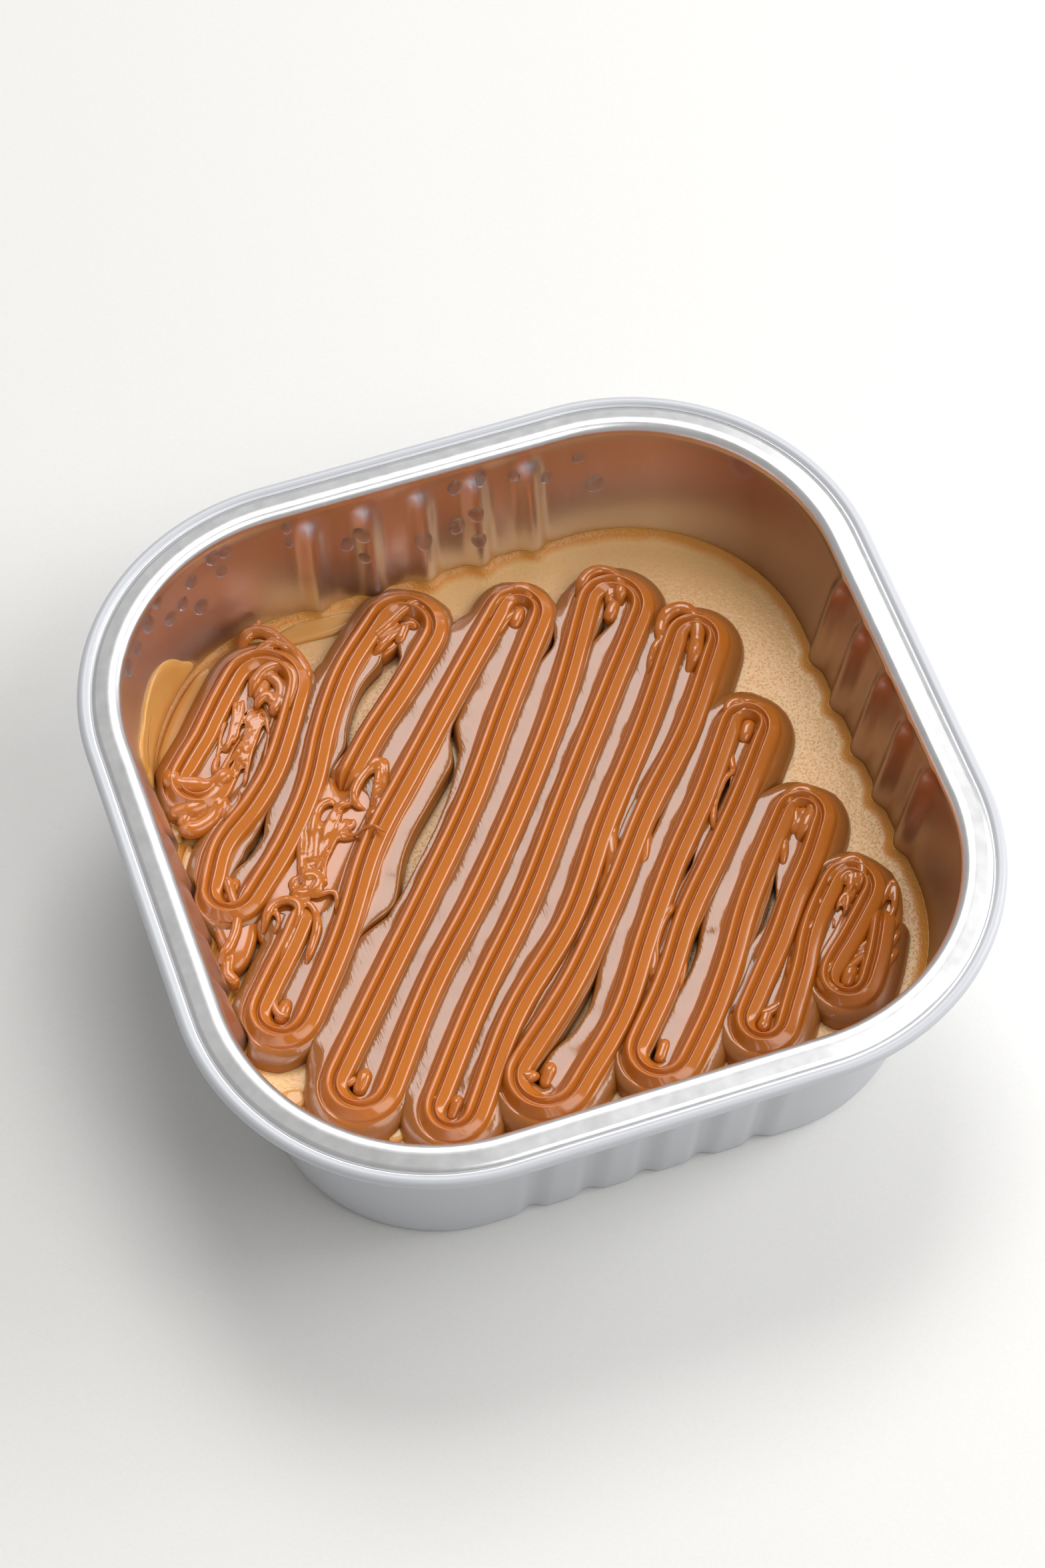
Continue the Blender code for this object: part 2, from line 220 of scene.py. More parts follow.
def seed_line(name, lines):
    """A mesh of poly-lines, given in millimetres, for a tree to follow."""
    mesh = bpy.data.meshes.new(name)
    points, edges = [], []
    for line in lines:
        first = len(points)
        points += [tuple(value * MM for value in point) for point in line]
        edges += [(first + i, first + i + 1) for i in range(len(line) - 1)]
    mesh.from_pydata(points, edges, [])
    return mesh


# %% [markdown]
# ## Finishes
# A finish is a Principled BSDF with its fixed values on its own sockets. Only colour,
# roughness, metalness and the surface direction change over a piece.

# %% A finish and its surface patterns


def finish(name, fixed, varying=None):
    """A material: fixed values go on the shader's sockets, varying ones are built by a function."""
    material = bpy.data.materials.new(name)
    material.use_nodes = True
    tree = material.node_tree
    shader = tree.nodes["Principled BSDF"]
    for key, value in fixed.items():
        socket = shader.inputs[key]
        socket.default_value = (*value, 1.0) if socket.type == "RGBA" else value
    if varying:
        for key, wire in varying(tree).items():
            tree.links.new(wire.socket, shader.inputs[key])
    print(name, "finish,", len(tree.nodes), "nodes")
    return material


def object_place(tree):
    return add(tree, "ShaderNodeTexCoord", out="Object")


def noise_at(tree, where, scale, detail):
    """Cloudy noise from 0 to 1; a scale of 1000 gives spots of about a millimetre."""
    sockets = {"Vector": where, "Scale": scale, "Detail": detail}
    return add(tree, "ShaderNodeTexNoise", None, sockets)


def ramp(tree, value, stops):
    return add(tree, "ShaderNodeValToRGB", {"stops": stops}, {0: value})


def mix_colour(tree, factor, first, second):
    sockets = {"Factor": factor, "A": first, "B": second}
    return add(tree, "ShaderNodeMix", {"data_type": "RGBA"}, sockets, out="Result")


def bump(tree, height, distance, strength, normal=None):
    """Tilts the surface by a height; the distance is how high one stands, in millimetres."""
    sockets = {"Height": height, "Distance": distance * MM, "Strength": strength}
    if normal:
        sockets["Normal"] = normal
    return add(tree, "ShaderNodeBump", None, sockets)


def attribute(tree, name):
    return add(tree, "ShaderNodeAttribute", {"attribute_name": name}, out="Fac")


# %% [markdown]
# ### Thick caramel
# Piped caramel is smooth, wet-looking and lets a little light in, so its thin edges glow
# and its grooves stay a deep red-brown. A glossy skin over a slightly scattering body gives
# both, so no coat is needed. Where the caramel lies flat it mirrors the light, and a
# colour that is bright as well would wash out there. So the mesh carries a mask of the
# flat parts, which get painted shade, a darker colour under the mirrored band, and the fine
# scratches that the nozzle drew.

# %% The caramel finish
CARAMEL_COLOURS = ((0.46, 0.130, 0.010), (0.53, 0.162, 0.018))
# Painted shade: the flat parts are darker, so that the mirrored band on them doesn't wash out.
FLAT_PAINTED_SHADE = (0.28, 0.105, 0.024)
SCRATCHES = (2600.0, 420.0, 420.0)


def caramel_pattern(tree):
    where = object_place(tree)
    cloud = noise_at(tree, where, 60.0, 2.0)
    colour = mix_colour(tree, cloud, *CARAMEL_COLOURS)
    flat = attribute(tree, "flat")
    # Painted shade on the flat parts, under the mirrored band.
    colour = mix_colour(tree, flat * 0.8, colour, FLAT_PAINTED_SHADE)
    fine = noise_at(tree, where, 700.0, 3.0)
    sockets = {"Vector": where, "Rotation": (0.0, 0.0, -LEG_ANGLE), "Scale": SCRATCHES}
    turned = add(tree, "ShaderNodeMapping", {"vector_type": "POINT"}, sockets)
    hatch = noise_at(tree, turned, 1.0, 2.0)
    skin = bump(tree, fine, 0.04, 0.1)
    return {"Base Color": colour, "Normal": bump(tree, hatch * flat, 0.04, 0.8, skin)}


caramel = finish(
    "caramel",
    {
        "Roughness": 0.13,
        "IOR": 1.55,
        "Subsurface Weight": 0.38,
        "Subsurface Radius": (1.0, 0.3, 0.1),
        "Subsurface Scale": 0.0009,
    },
    caramel_pattern,
)

# %% [markdown]
# ### Set custard
# The pudding is paler and satin, and tiny air bubbles and pores roughen its skin. Near the
# wall it carries painted light, a lighter colour against the shade of the wall, and it turns
# orange-brown at the very edge, where it climbs the wall in a thin film. Two masks on the
# mesh, near and edge, say where that is.

# %% The custard finish
CUSTARD_COLOURS = ((0.76, 0.43, 0.165), (0.83, 0.515, 0.235))
# Painted light: near the wall the custard is lightened against the wall's shade.
NEAR_WALL_PAINTED_LIGHT = (0.88, 0.56, 0.23)
EDGE_COLOUR = (0.68, 0.27, 0.04)


def custard_pattern(tree):
    where = object_place(tree)
    ragged = noise_at(tree, where, 160.0, 3.0)
    edge = ramp(tree, attribute(tree, "edge") + (ragged - 0.5) * 0.5, ((0.12, 0.0), (0.62, 1.0)))
    cloud = noise_at(tree, where, 45.0, 3.0)
    pale = mix_colour(tree, cloud, *CUSTARD_COLOURS)
    # Painted light near the wall, against the shade that the wall casts.
    lit_near_wall = mix_colour(tree, attribute(tree, "near"), pale, NEAR_WALL_PAINTED_LIGHT)
    colour = mix_colour(tree, edge, lit_near_wall, EDGE_COLOUR)
    sockets = {"Vector": where, "Scale": 2200.0}
    pores = add(tree, "ShaderNodeTexVoronoi", {"feature": "F1"}, sockets, out="Distance")
    pits = ramp(tree, pores, ((0.0, 1.0), (0.4, 0.0)))
    grain = noise_at(tree, where, 1500.0, 3.0)
    skin = bump(tree, grain, 0.12, 0.8)
    return {"Base Color": colour, "Normal": bump(tree, pits, 0.12, 0.5, skin)}


custard = finish(
    "custard",
    {
        "Roughness": 0.3,
        "IOR": 1.45,
        "Subsurface Weight": 0.4,
        "Subsurface Radius": (1.0, 0.5, 0.2),
        "Subsurface Scale": 0.002,
    },
    custard_pattern,
)

# %% [markdown]
# ### Foil with two finishes
# The dish is one sheet: bare, brushed metal on the inside and on the flange, and a pale
# lacquer on the outside and over the rolled bead. One material carries both, and a mask
# stored on the mesh says where the metal is bare. Below the flange the metal carries
# painted shade, a duller tint, and on the right-hand wall, which faces away from the light,
# a darker brown that is painted shade and painted reflection of the caramel. One brown stain
# sits near the far right corner.

# %% A stain
STAIN_PLACE = (47.2, 42.0, 35.5)
STAIN_REACH = 4.0
STAIN_COLOUR = (0.36, 0.12, 0.04)


def stain_at(tree, where):
    """One inside the uneven stain, zero outside it."""
    middle = tuple(value * MM for value in STAIN_PLACE)
    away = add(
        tree, "ShaderNodeVectorMath", {"operation": "DISTANCE"}, {0: where, 1: middle}, out="Value"
    )
    ragged = noise_at(tree, where, 220.0, 3.0)
    return ramp(tree, away / (STAIN_REACH * MM) + ragged * 0.8, ((0.55, 1.0), (1.3, 0.0)))


# %% The foil finish
LACQUER_COLOUR = (0.56, 0.575, 0.61)
METAL_COLOURS = ((0.84, 0.84, 0.85), (0.93, 0.93, 0.94))
# Painted shade inside the dish below the flange, and darker painted shade and painted reflection of
# the caramel on the right-hand wall.
INSIDE_SHADE_COLOURS = ((0.79, 0.76, 0.80), (0.43, 0.32, 0.29))
SHADE_BELOW_Z = 36.9
# A ramp runs from 0 to 1, so the distance to the right goes in as tenths of a metre.
TENTHS = 10.0
RIGHT_SHADE_FROM, RIGHT_SHADE_TO = 0.36, 0.48


def foil_pattern(tree):
    where = object_place(tree)
    bare = attribute(tree, "bare")
    sockets = {"Vector": where, "Scale": (1.0, 1.0, 0.03)}
    upright = add(tree, "ShaderNodeMapping", {"vector_type": "POINT"}, sockets)
    drawn = noise_at(tree, upright, 500.0, 3.0)
    colour = mix_colour(tree, bare, LACQUER_COLOUR, mix_colour(tree, drawn, *METAL_COLOURS))
    across = add(tree, "ShaderNodeSeparateXYZ", None, {0: where}, out="X")
    # Painted shade and painted reflection: below the flange the inner metal is tinted darker, most of
    # all towards the right-hand wall.
    inside = bare * (1.0 - across.other("Z").above(SHADE_BELOW_Z * MM))
    right_wall_shade = ramp(tree, across * TENTHS, ((RIGHT_SHADE_FROM, 0.0), (RIGHT_SHADE_TO, 1.0)))
    colour = mix_colour(tree, inside, colour, mix_colour(tree, right_wall_shade, *INSIDE_SHADE_COLOURS))
    stain = stain_at(tree, where) * 0.8
    uneven = noise_at(tree, where, 75.0, 0.0)
    streaks = bump(tree, drawn, 0.03, 0.25)
    return {
        "Base Color": mix_colour(tree, stain, colour, STAIN_COLOUR),
        "Metallic": bare * (1.0 - stain),
        "Roughness": 0.36 + bare * (drawn * 0.10 - 0.09),
        "Normal": bump(tree, uneven, 0.1, 0.2, streaks),
    }


foil = finish("foil", {"IOR": 1.5}, foil_pattern)

# %% [markdown]
# ## The dish
# Foil dishes are pressed from one sheet, so every outline is the same small square grown
# by a radius. The section climbs the outside, goes round the bead, over the flange and
# down the inside. Five grooves are pressed into the straight part of each side and fade
# in arches under the flange. A loft through rings of points gives all of that, and each
# ring may take its own depth of flute.

# %% The dish's sizes
CORE_HALF = 23.0
FOOT_RADIUS = 25.2
DRAFT = 0.169
WALL = 0.45
FLUTES = 5
FLUTE_PITCH = 8.6
FLUTE_HALF_WIDTH = 2.8
FLUTE_DEPTH_FOOT = 0.9
FLUTE_DEPTH_TOP = 1.4
FLUTE_ARCH_Z = (33.2, 36.6)
FLUTE_TIP = 0.35
RIM_Z = 39.3
BEAD = (36.05, 37.9, 0.95)
FLANGE = ((32.0, RIM_Z), (34.9, 38.6))
WALL_TOP_Z = 37.2


def wall_radius(height):
    """Outer radius of the wall from the core square, at a height."""
    return FOOT_RADIUS + DRAFT * height


def flute_depth(distance, height):
    """How deep the foil is pressed in, at a distance along a side and a height."""
    nearest = min(FLUTES // 2, max(-(FLUTES // 2), round(distance / FLUTE_PITCH)))
    low, high = FLUTE_ARCH_Z
    fade = min(1.0, max(0.0, (high - height) / (high - low)))
    half = FLUTE_HALF_WIDTH * (FLUTE_TIP + (1.0 - FLUTE_TIP) * math.sqrt(fade))
    offset = abs(distance - nearest * FLUTE_PITCH) / half
    if offset >= 1.0 or fade <= 0.0:
        return 0.0
    rise = min(1.0, height / low)
    depth = FLUTE_DEPTH_FOOT + (FLUTE_DEPTH_TOP - FLUTE_DEPTH_FOOT) * rise
    return depth * fade ** 0.6 * (0.5 + 0.5 * math.cos(math.pi * offset))


# %% The outline of every ring
SIDE_STEPS = 92
CORNER_STEPS = 40


def outline():
    """Points round the core square: place, outward direction and distance along a side."""
    points = []
    for side in range(4):
        turn = side * math.pi / 2
        out = Vector((math.cos(turn), math.sin(turn)))
        run = Vector((-out.y, out.x))
        for step in range(SIDE_STEPS + 1):
            distance = -CORE_HALF + 2 * CORE_HALF * step / SIDE_STEPS
            points.append((out * CORE_HALF + run * distance, out, distance))
        for step in range(1, CORNER_STEPS):
            angle = turn + step / CORNER_STEPS * math.pi / 2
            direction = Vector((math.cos(angle), math.sin(angle)))
            points.append((out * CORE_HALF + run * CORE_HALF, direction, None))
    return points


OUTLINE = outline()
print("outline points:", len(OUTLINE))

# %% A loft through the rings


def loft(name, rings, material, attributes):
    """Closed skin through rings of points, in mm; attributes give one value for each ring."""
    bm = bmesh.new()
    layers = {key: bm.verts.layers.float.new(key) for key in attributes}
    rows = []
    for index, ring in enumerate(rings):
        row = []
        for point in ring:
            vert = bm.verts.new(Vector(point) * MM)
            for key, values in attributes.items():
                vert[layers[key]] = values[index]
            row.append(vert)
        rows.append(row)
    count = len(rings[0])
    for lower, upper in zip(rows, rows[1:]):
        for index in range(count):
            after = (index + 1) % count
            bm.faces.new((lower[index], lower[after], upper[after], upper[index]))
    bm.faces.new(list(reversed(rows[0])))
    bm.faces.new(rows[-1])
    bmesh.ops.recalc_face_normals(bm, faces=bm.faces)
    mesh = bpy.data.meshes.new(name)
    bm.to_mesh(mesh)
    bm.free()
    mesh.shade_smooth()
    return place(name, mesh, material)


def ring_at(radius, height, fluted=True):
    """One outline of the dish at a radius and height, in millimetres."""
    ring = []
    for point, direction, distance in OUTLINE:
        depth = 0.0
        if fluted and distance is not None:
            depth = flute_depth(distance, height)
        spot = point + direction * (radius - depth)
        ring.append((spot.x, spot.y, height))
    return ring


# %% The dish's section, ring by ring
FOOT_BEND = 0.8
EDGE_BEND = 1.5
WALL_STEPS = 24
INNER_STEPS = 27
BEAD_STEPS = 16
UNDER_FLANGE = (32.6, 34.6)
BEAD_TO_FLANGE = ((35.25, 38.15, 0.5), (35.0, 38.35, 1.0))


def dish_rings():
    """Rings of the section and the mask of bare metal that goes with them."""
    rings, bare = [], []

    def take(radius, height, fluted, mask):
        rings.append(ring_at(radius, height, fluted))
        bare.append(mask)

    foot = wall_radius(0.0)
    for step in range(5):
        angle = math.radians(-90 + 22.5 * step)
        radius = foot - FOOT_BEND + FOOT_BEND * math.cos(angle)
        take(radius, FOOT_BEND + FOOT_BEND * math.sin(angle), True, 0.0)
    for step in range(1, WALL_STEPS + 1):
        height = FOOT_BEND + (WALL_TOP_Z - FOOT_BEND) * step / WALL_STEPS
        take(wall_radius(height), height, True, 0.0)
    for radius in UNDER_FLANGE:
        take(radius, BEAD[1], False, 0.0)
    for step in range(BEAD_STEPS + 1):
        angle = math.radians(-130 + 260 * step / BEAD_STEPS)
        radius = BEAD[0] + BEAD[2] * math.cos(angle)
        take(radius, BEAD[1] + BEAD[2] * math.sin(angle), False, 0.0)
    for radius, height, mask in BEAD_TO_FLANGE:
        take(radius, height, False, mask)
    (inner, top), (outer, low) = FLANGE
    for step in range(5):
        share = step / 4
        take(outer + (inner - outer) * share, low + (top - low) * share, False, 1.0)
    for step in range(1, 8):
        angle = math.radians(90 + 80 * step / 7)
        radius = inner + EDGE_BEND * math.cos(angle)
        take(radius, top - EDGE_BEND + EDGE_BEND * math.sin(angle), False, 1.0)
    for step in range(1, INNER_STEPS):
        height = WALL_TOP_Z + 0.6 - (WALL_TOP_Z - 0.4) * step / INNER_STEPS
        take(wall_radius(height) - WALL, height, True, 1.0)
    take(foot - 2 * FOOT_BEND, WALL, True, 1.0)
    return rings, bare


rings, bare = dish_rings()
dish = loft("dish", rings, foil, {"bare": bare})
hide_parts("tray")
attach(dish, "root")

# %% [markdown]
# ## The pudding
# The custard was poured warm and set level. At the wall it clings and climbs a little, so
# its edge is a thin, darker meniscus. A loft follows the fluted wall, and the last rings
# bring the surface down to its level. Its lowest ring lies just above the foil.

# %% The pudding's rings
PUDDING_Z = 16.5
MENISCUS = 0.9
MENISCUS_WIDTH = 2.6
CLIMB_STEPS = 14
# Each middle ring is its radius and its share of painted light near the wall.
MIDDLE_RINGS = ((22.0, 0.08), (18.0, 0.0), (10.0, 0.0), (1.0, 0.0))


def pudding_rings():
    """Rings from the base up the wall, over the meniscus and in to the middle."""
    rings, edge, near = [], [], []
    for height in (WALL + 0.05, 8.0, PUDDING_Z + MENISCUS):
        rings.append(ring_at(wall_radius(height) - WALL - 0.02, height))
        edge.append(1.0)
        near.append(1.0)
    for step in range(1, CLIMB_STEPS + 1):
        share = step / CLIMB_STEPS
        height = PUDDING_Z + MENISCUS * (1.0 - share) ** 3
        radius = wall_radius(height) - WALL - MENISCUS_WIDTH * share
        rings.append(ring_at(radius, height))
        edge.append((1.0 - share) ** 1.3)
        # near is painted light: the custard is lighter close to the wall, where the wall shades it.
        near.append(1.0 - 0.75 * share)
    for radius, painted_light in MIDDLE_RINGS:
        rings.append(ring_at(radius, PUDDING_Z, False))
        edge.append(0.0)
        near.append(painted_light)
    return rings, edge, near


rings, edge, near = pudding_rings()
pudding = loft("pudding_top", rings, custard, {"edge": edge, "near": near})
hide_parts("pudding")
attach(pudding, "root")

# %% [markdown]
# ## Where the caramel was piped
# The nozzle ran to and fro at a slant across the dish. The zigzag is easiest to lay out
# in a frame turned about the vertical: U runs along the legs and V across them. Each turn
# is a half circle with its own place and radius, and each leg sways a little between its
# turns.

# %% The zigzag's turns and legs
# Each turn is its tip's V and U and its radius; each leg, how far it sways along its run.
TURNS = (
    (-50.2, -8.8, -3.2), (-46.6, 18.3, 5.0), (-39.6, -25.2, 3.2), (-29.8, 33.8, 4.6),
    (-26.0, -42.4, 3.6), (-14.0, 40.2, 3.3), (-11.7, -50.3, 3.9), (-0.7, 46.6, 4.2),
    (2.0, -49.5, 3.0), (12.8, 43.2, 3.2), (13.0, -42.3, 4.6), (24.5, 30.3, 2.9),
    (27.4, -33.0, 3.9), (36.3, 17.8, 2.9), (40.0, -23.0, 3.0), (46.2, 8.3, 3.1),
    (49.6, -12.5, 2.9),
)
SWAY = (
    (0.1, 0.3, 0.1, 0.0), (0.9, 1.4, 0.6, -1.0), (1.2, 1.1, -0.6, -1.3), None,
    (-0.6, -2.4, -1.8, -1.0), (0.5, 1.4, 1.1, 0.5), (-0.1, 1.4, 2.0, 1.7),
    (0.1, 0.3, 0.7, -0.2), (-0.5, 1.7, 0.9, 0.9), (1.4, 1.0, 1.8, 1.8),
    (1.6, 0.7, 0.2, 0.5), (0.2, -0.1, -0.5, 0.3), (0.6, 0.4, -0.3, -0.3),
    (0.4, 0.2, 0.4, 0.2), (-0.1, -0.2, -0.7, -0.6), (0.1, 0.1, 0.1, -0.1),
)
TORN_LEG = 3
START_END = ((-45.8, 9.5), (-46.5, 2.5))
TORN_UPPER_END = ((-26.6, 20.0), (-28.6, 10.0), (-29.8, -1.0))
TORN_LOWER_END = ((-28.6, -20.0), (-28.7, -27.0), (-29.3, -34.0))
LAST_END = ((52.4, -4.0), (51.4, 4.0))
STEP_LENGTH = 0.65
ARC_STEPS = 9
LEG_STEPS = 8
EASING_PASSES = 4
print("turns of the zigzag:", len(TURNS))

# %% The layout frame and the wall


def to_dish(v, u):
    """From the turned layout frame to the dish's own X and Y, in millimetres."""
    x = v * math.sin(LEG_ANGLE) + u * math.cos(LEG_ANGLE)
    y = u * math.sin(LEG_ANGLE) - v * math.cos(LEG_ANGLE)
    return x, y


def held(x, y, height, margin):
    """The place, pulled in to a margin from the inner wall where it would pass it."""
    out_x, out_y = max(abs(x) - CORE_HALF, 0.0), max(abs(y) - CORE_HALF, 0.0)
    reach = math.hypot(out_x, out_y)
    limit = wall_radius(height) - WALL - margin
    if min(out_x, out_y) <= 0.0:
        limit -= flute_depth(y if out_x > out_y else x, height)
    if reach <= limit:
        return x, y
    pull = limit / reach
    x = math.copysign(min(abs(x), CORE_HALF) + out_x * pull, x)
    y = math.copysign(min(abs(y), CORE_HALF) + out_y * pull, y)
    return x, y


# A margin below zero lets a piece's edge end inside the foil, so no gap shows.
INTO_FOIL = -0.1

# %% Curves and the route


def curve_through(points, steps):
    """Catmull-Rom curve through the points."""
    points = [Vector(point) for point in points]
    padded = [points[0] * 2 - points[1]] + points + [points[-1] * 2 - points[-2]]
    result = [points[0]]
    for index in range(1, len(padded) - 2):
        p0, p1, p2, p3 = padded[index - 1:index + 3]
        for step in range(1, steps + 1):
            t = step / steps
            result.append(0.5 * (
                2 * p1 + (p2 - p0) * t
                + (2 * p0 - 5 * p1 + 4 * p2 - p3) * t * t
                + (3 * p1 - p0 - 3 * p2 + p3) * t * t * t
            ))
    return result


def half_turn(index, leaving):
    """One half of a turn's arc, from its shoulder to its tip or from its tip on."""
    v, u, radius = TURNS[index]
    up = 1.0 if index % 2 else -1.0
    side = 1.0 if leaving else -1.0
    points = []
    for step in range(ARC_STEPS + 1):
        angle = step / ARC_STEPS * math.pi / 2
        across = side * radius * math.sin(angle)
        drop = up * abs(radius) * (1.0 - math.cos(angle))
        points.append(Vector((v + across, u - drop)))
    return points if leaving else points[::-1]


def run_path(first, last, start, end):
    """Centre line over a run of turns between two loose ends."""
    path = curve_through(list(start) + [half_turn(first, False)[0]], LEG_STEPS)
    for turn in range(first, last + 1):
        path += half_turn(turn, False)[1:]
        path += half_turn(turn, True)[1:]
        if turn < last:
            begin, finish_at = path[-1], half_turn(turn + 1, False)[0]
            between = []
            for number, sway in enumerate(SWAY[turn], start=1):
                share = number / (len(SWAY[turn]) + 1)
                between.append(begin.lerp(finish_at, share) + Vector((sway, 0.0)))
            path += curve_through([begin] + between + [finish_at], LEG_STEPS)[1:]
    return path + curve_through([path[-1]] + [Vector(p) for p in end], LEG_STEPS)[1:]


def even_steps(path):
    """The path with evenly spaced points, its corners eased."""
    points = np.array([tuple(point) for point in path])
    gaps = np.linalg.norm(np.diff(points, axis=0), axis=1)
    travel = np.concatenate([[0.0], np.cumsum(gaps)])
    count = max(2, round(travel[-1] / STEP_LENGTH))
    wanted = np.linspace(0.0, travel[-1], count + 1)
    even = np.stack([np.interp(wanted, travel, points[:, axis]) for axis in (0, 1)], 1)
    for _ in range(EASING_PASSES):
        even[1:-1] = 0.25 * even[:-2] + 0.5 * even[1:-1] + 0.25 * even[2:]
    return even


paths = [
    even_steps(run_path(0, TORN_LEG, START_END, TORN_UPPER_END)),
    even_steps(run_path(TORN_LEG + 1, len(TURNS) - 1, TORN_LOWER_END, LAST_END)),
]
print("caramel piped, mm:", [round(len(path) * STEP_LENGTH) for path in paths])

# %% [markdown]
# ## The caramel ribbon
# A star nozzle leaves a ribbon with two ridges in the middle, a groove beside each and a
# low flange outside it. Curves with a bevel could sweep it, but they can't squeeze one
# side only. So Geometry Nodes sweep one closed section along the route, and then place
# every point by the facts that its spot on the route carries: how much room there is to
# its left and right, how wide the flanges are there, and which side is the older leg. A
# flange ends a little over the next leg, or beside a gap, where the custard shows. Outside
# the last leg nothing holds it, so there it slopes down as a free shoulder.

# %% The nozzle's section
# Distance from the middle towards the older leg, and height as a share of the ridge.
RIBBON_HALF = 4.5
FLANGE_FROM = 2.2
RIDGE = 4.9
SECTION = (
    (-4.5, 0.20), (-4.38, 0.46), (-4.2, 0.575), (-3.8, 0.60), (-3.0, 0.605), (-2.42, 0.61),
    (-2.25, 0.65), (-2.1, 0.76), (-1.92, 0.83), (-1.1, 0.895), (-0.42, 0.94), (-0.28, 0.90),
    (-0.12, 0.79), (0.0, 0.73), (0.14, 0.78), (0.36, 0.88), (0.62, 0.965),
    (0.85, 1.0), (1.08, 0.985), (1.35, 0.90), (1.57, 0.79), (1.78, 0.65), (1.9, 0.56),
    (2.0, 0.55), (2.12, 0.585), (2.28, 0.62), (2.9, 0.625), (3.5, 0.62), (4.0, 0.61),
    (4.2, 0.58), (4.4, 0.42), (4.5, 0.20),
)
SECTION_POINTS = 56
FINE_POINTS = 1801
CORNER_EASE = 31


def running_mean(values, width):
    """Each value's mean with its neighbours, the ends held."""
    return np.convolve(np.pad(values, width // 2, "edge"), np.ones(width) / width, "valid")


def smooth_section():
    """The section with its corners eased, sampled more closely where it bends."""
    across, level = np.array(SECTION).T
    fine = np.linspace(across[0], across[-1], FINE_POINTS)
    height = np.interp(fine, across, level)
    for _ in range(2):
        height = running_mean(height, CORNER_EASE)
    slope = np.arctan(np.gradient(height * RIDGE, fine))
    effort = np.cumsum(np.gradient(fine) / np.cos(slope) + 0.6 * np.abs(np.gradient(slope)))
    spots = np.interp(np.linspace(effort[0], effort[-1], SECTION_POINTS), effort, fine)
    return spots, np.interp(spots, fine, height)


def section_ring():
    """Core and flange part of each point's distance and its height, then two points below."""
    spots, level = smooth_section()
    core = np.clip(spots, -FLANGE_FROM, FLANGE_FROM)
    ring = np.stack([core / RIBBON_HALF, (spots - core) / RIBBON_HALF, level], 1)
    right, left = ring[0].copy(), ring[-1].copy()
    right[2] = left[2] = 0.0
    return np.vstack([ring, left, right])


section_rows = section_ring()
print("section points:", len(section_rows))

# %% Gaps between the legs, and the room to the wall
# Each gap is its middle (V, U), half its length and its width.
GAPS = (
    (-31.2, 15.0, 11.5, 3.2), (-16.0, -4.0, 17.5, 2.2), (10.9, 1.0, 3.2, 1.1),
    (15.3, 7.3, 3.4, 1.2), (14.6, -25.0, 7.5, 0.9), (26.8, -12.0, 5.4, 1.2),
    (24.3, 14.5, 4.6, 1.3), (22.6, 1.5, 2.6, 0.8), (21.7, -16.5, 3.6, 0.9),
    (38.8, -14.0, 3.8, 0.9), (-39.2, -13.5, 4.5, 1.2), (-34.0, -8.0, 2.4, 0.8),
    (35.8, -2.0, 4.6, 0.9), (41.6, -1.5, 3.6, 1.6), (-0.8, 40.0, 2.6, 1.5),
    (-7.4, 33.5, 1.6, 0.7),
)
ROOM_STEP = 0.25
MOST_ROOM = 9.0


def wall_room(path, outward):
    """How far each point of a route is from the inner wall, looking outward."""
    room = np.full(len(path), MOST_ROOM)
    for distance in np.arange(MOST_ROOM - ROOM_STEP, 0.0, -ROOM_STEP):
        for index, (v, u) in enumerate(path + outward * distance):
            spot = to_dish(v, u)
            if held(*spot, PUDDING_Z, INTO_FOIL) != spot:
                room[index] = distance
    return room - ROOM_STEP


print("gaps between the legs:", len(GAPS))

# %% How wide the flanges are
GAP_REACH = 7.5
NEXT_LEG = (4.0, 11.0)
BESIDE = 0.8
NOTHING_NEAR = 99.0
FLANGE_LAP = 0.3
TUCKED = 0.15
WIDEST = 1.9


